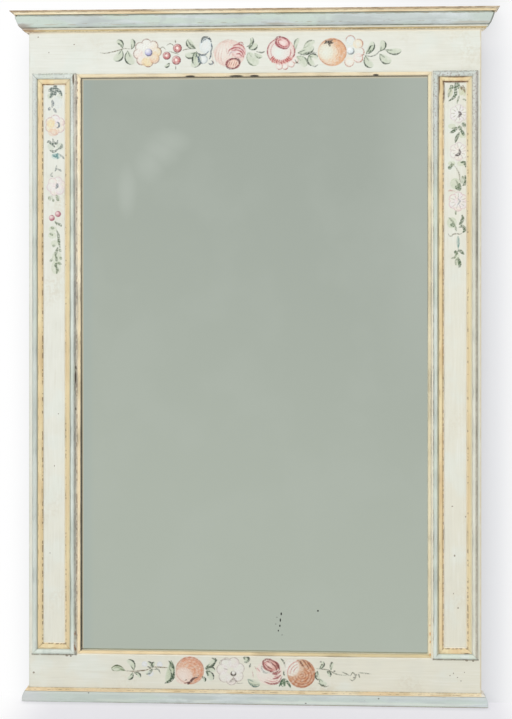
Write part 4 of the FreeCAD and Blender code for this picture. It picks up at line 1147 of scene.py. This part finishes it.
for name, tint in (
    ("backboard_1", (162, 126, 88)), ("backboard_2", (172, 138, 98)), ("backboard_3", (156, 122, 84)),
):
    dress(bare_wood(name + " softwood", (0.05, 1, 1), tint), name)
strips = ["glazing_strip_" + side for side in SIDES]
dress(bare_wood("glazing strip softwood", (0.3, 1, 0.3), (176, 142, 100)), *strips)
dress(bare_wood("riven pegs", (1, 0.1, 1), (150, 112, 76)), "tenon_pegs")

# Nails, square cut: twelve hold the backboards in their rebate and five hold the thin lid of the
# cornice. Their iron has rusted brown.

iron = Finish("rusted iron", 0.6)
iron.colour = (84, 78, 72)
rust = iron.patches(1.5, 4, 0.42, 0.6)
iron.over(rust, 110, 74, 50)
iron.feed("Roughness", 0.5 + rust * 0.35)
iron.feed("Metallic", 0.8 - rust * 0.7)
iron.bump(rust, 0.1)
dress(iron, "backboard_nails", "cap_nails")

# Keyhole hangers: two zinc-plated steel plates let flush into the backs of the stiles, each held
# by two countersunk screws.

zinc = Finish("zinc plated steel", 0.35, 1)
zinc.colour = (196, 197, 196)
dull = zinc.patches(9, 3, 0.4, 0.7)
zinc.over(dull * 0.6, 150, 150, 144)
zinc.feed("Roughness", 0.3 + dull * 0.25)
zinc.bump(zinc.noise(0.8, 3, (1, 1, 0.1)), 0.02)
dress(zinc, "left_hanger", "right_hanger", "hanger_screws")

# Room: a white wall close behind the back and a pale floor at the foot, soft light from all round
# and a broad window on the left. The wall shows only from the front.

bpy.ops.object.select_all(action="DESELECT")
bpy.ops.mesh.primitive_plane_add(size=14, location=(0, 0, 0))
floor = bpy.context.active_object
floor.name = "floor"
bpy.ops.mesh.primitive_plane_add(size=14, location=(0, 0.0015, 7), rotation=(math.radians(90), 0, 0))
wall = bpy.context.active_object
wall.name = "wall"
bpy.ops.object.transform_apply(location=True, rotation=True, scale=True)
WHITE = (1, 1, 1, 1)


def plastered(surface, shadow_tone, plain):
    """Matt plaster with a painted shadow, greyer to the right and at the frame's foot. The eye sees some of
    it plain, without shade.
    """
    plaster = Finish(surface.name + " plaster", 0.9)
    x, y, z = plaster.x, plaster.y, plaster.z
    # Painted shadow: greyer to the right of the frame and on the floor near it, less above the cornice, and
    # darker along the frame's foot.
    shade = plaster.rise(x, -450, -330) * (1 - plaster.rise(x, 408, 470) * 0.75)
    overhead = plaster.rise(z, 1120, 1225) * (1 - plaster.rise(x, 60, 430) * 0.5)
    nearby = plaster.rise(y, -420, -160) * plaster.rise(y, 90, 20)
    shade = shade * (1 - overhead) * nearby
    contact_shadow = plaster.line(y, -36, 24) * plaster.rise(abs(x), 416, 396)
    plaster.colour = (255, 255, 255)
    plaster.over(shade, *shadow_tone)
    plaster.over(contact_shadow * 0.5, 208, 208, 211)
    plaster.shader.inputs["Specular IOR Level"].default_value = 0
    surface.data.materials.append(plaster.material)
    rays = plaster.add("LightPath", {}, out="Is Camera Ray")
    matt, glow = Wire(plaster, plaster.shader.outputs[0]), plaster.add("Emission", {}, plaster.colour, 1)
    shown = plaster.add("MixShader", {}, rays * (plain + (0.96 - plain) * (1 - shade)), matt, glow)
    white = plaster.add("Emission", {}, WHITE, 1)
    return plaster, plaster.add("MixShader", {}, rays.also("Is Glossy Ray"), shown, white)


plaster, shown = plastered(floor, (241, 240, 245), 0.66)
plaster.show("Material Output", shown)
plaster, shown = plastered(wall, (226, 227, 230), 0.7)
away = plaster.add("NewGeometry", {}, out="Backfacing")
front_only = plaster.add("LightPath", {}, out="Is Camera Ray") * (1 - away)
clear = plaster.add("BsdfTransparent", {})
plaster.show("Material Output", plaster.add("MixShader", {}, front_only, clear, shown))

world = bpy.data.worlds.new("soft room")
world.use_nodes = True
bpy.context.scene.world = world
sky = Nodes(world.node_tree)
rays = sky.add("LightPath", {}, out="Is Camera Ray")
soft, plain = sky.add("Background", {}, WHITE, 0.66), sky.add("Background", {}, WHITE, 1)
sky.show("World Output", sky.add("MixShader", {}, rays.most(rays.also("Is Glossy Ray")), soft, plain))

lamp = bpy.data.lights.new("window light", "SUN")
lamp.energy = 1.34
lamp.angle = math.radians(44)
key = bpy.data.objects.new("window light", lamp)
bpy.context.collection.objects.link(key)
key.rotation_euler = Vector((-0.29, -0.93, 0.2)).to_track_quat("Z", "Y").to_euler()
key.visible_glossy = False

camera_data = bpy.data.cameras.new("camera")
camera_data.sensor_width = 36
camera_data.lens = 77.28
camera_data.shift_y = -0.1083
camera = bpy.data.objects.new("camera", camera_data)
bpy.context.collection.objects.link(camera)
camera.location = (0.1509, -2.7283, 0.7394)
camera.rotation_euler = (math.radians(90), 0, 0.0541)
bpy.context.scene.camera = camera
bpy.context.scene.view_settings.view_transform = "Standard"
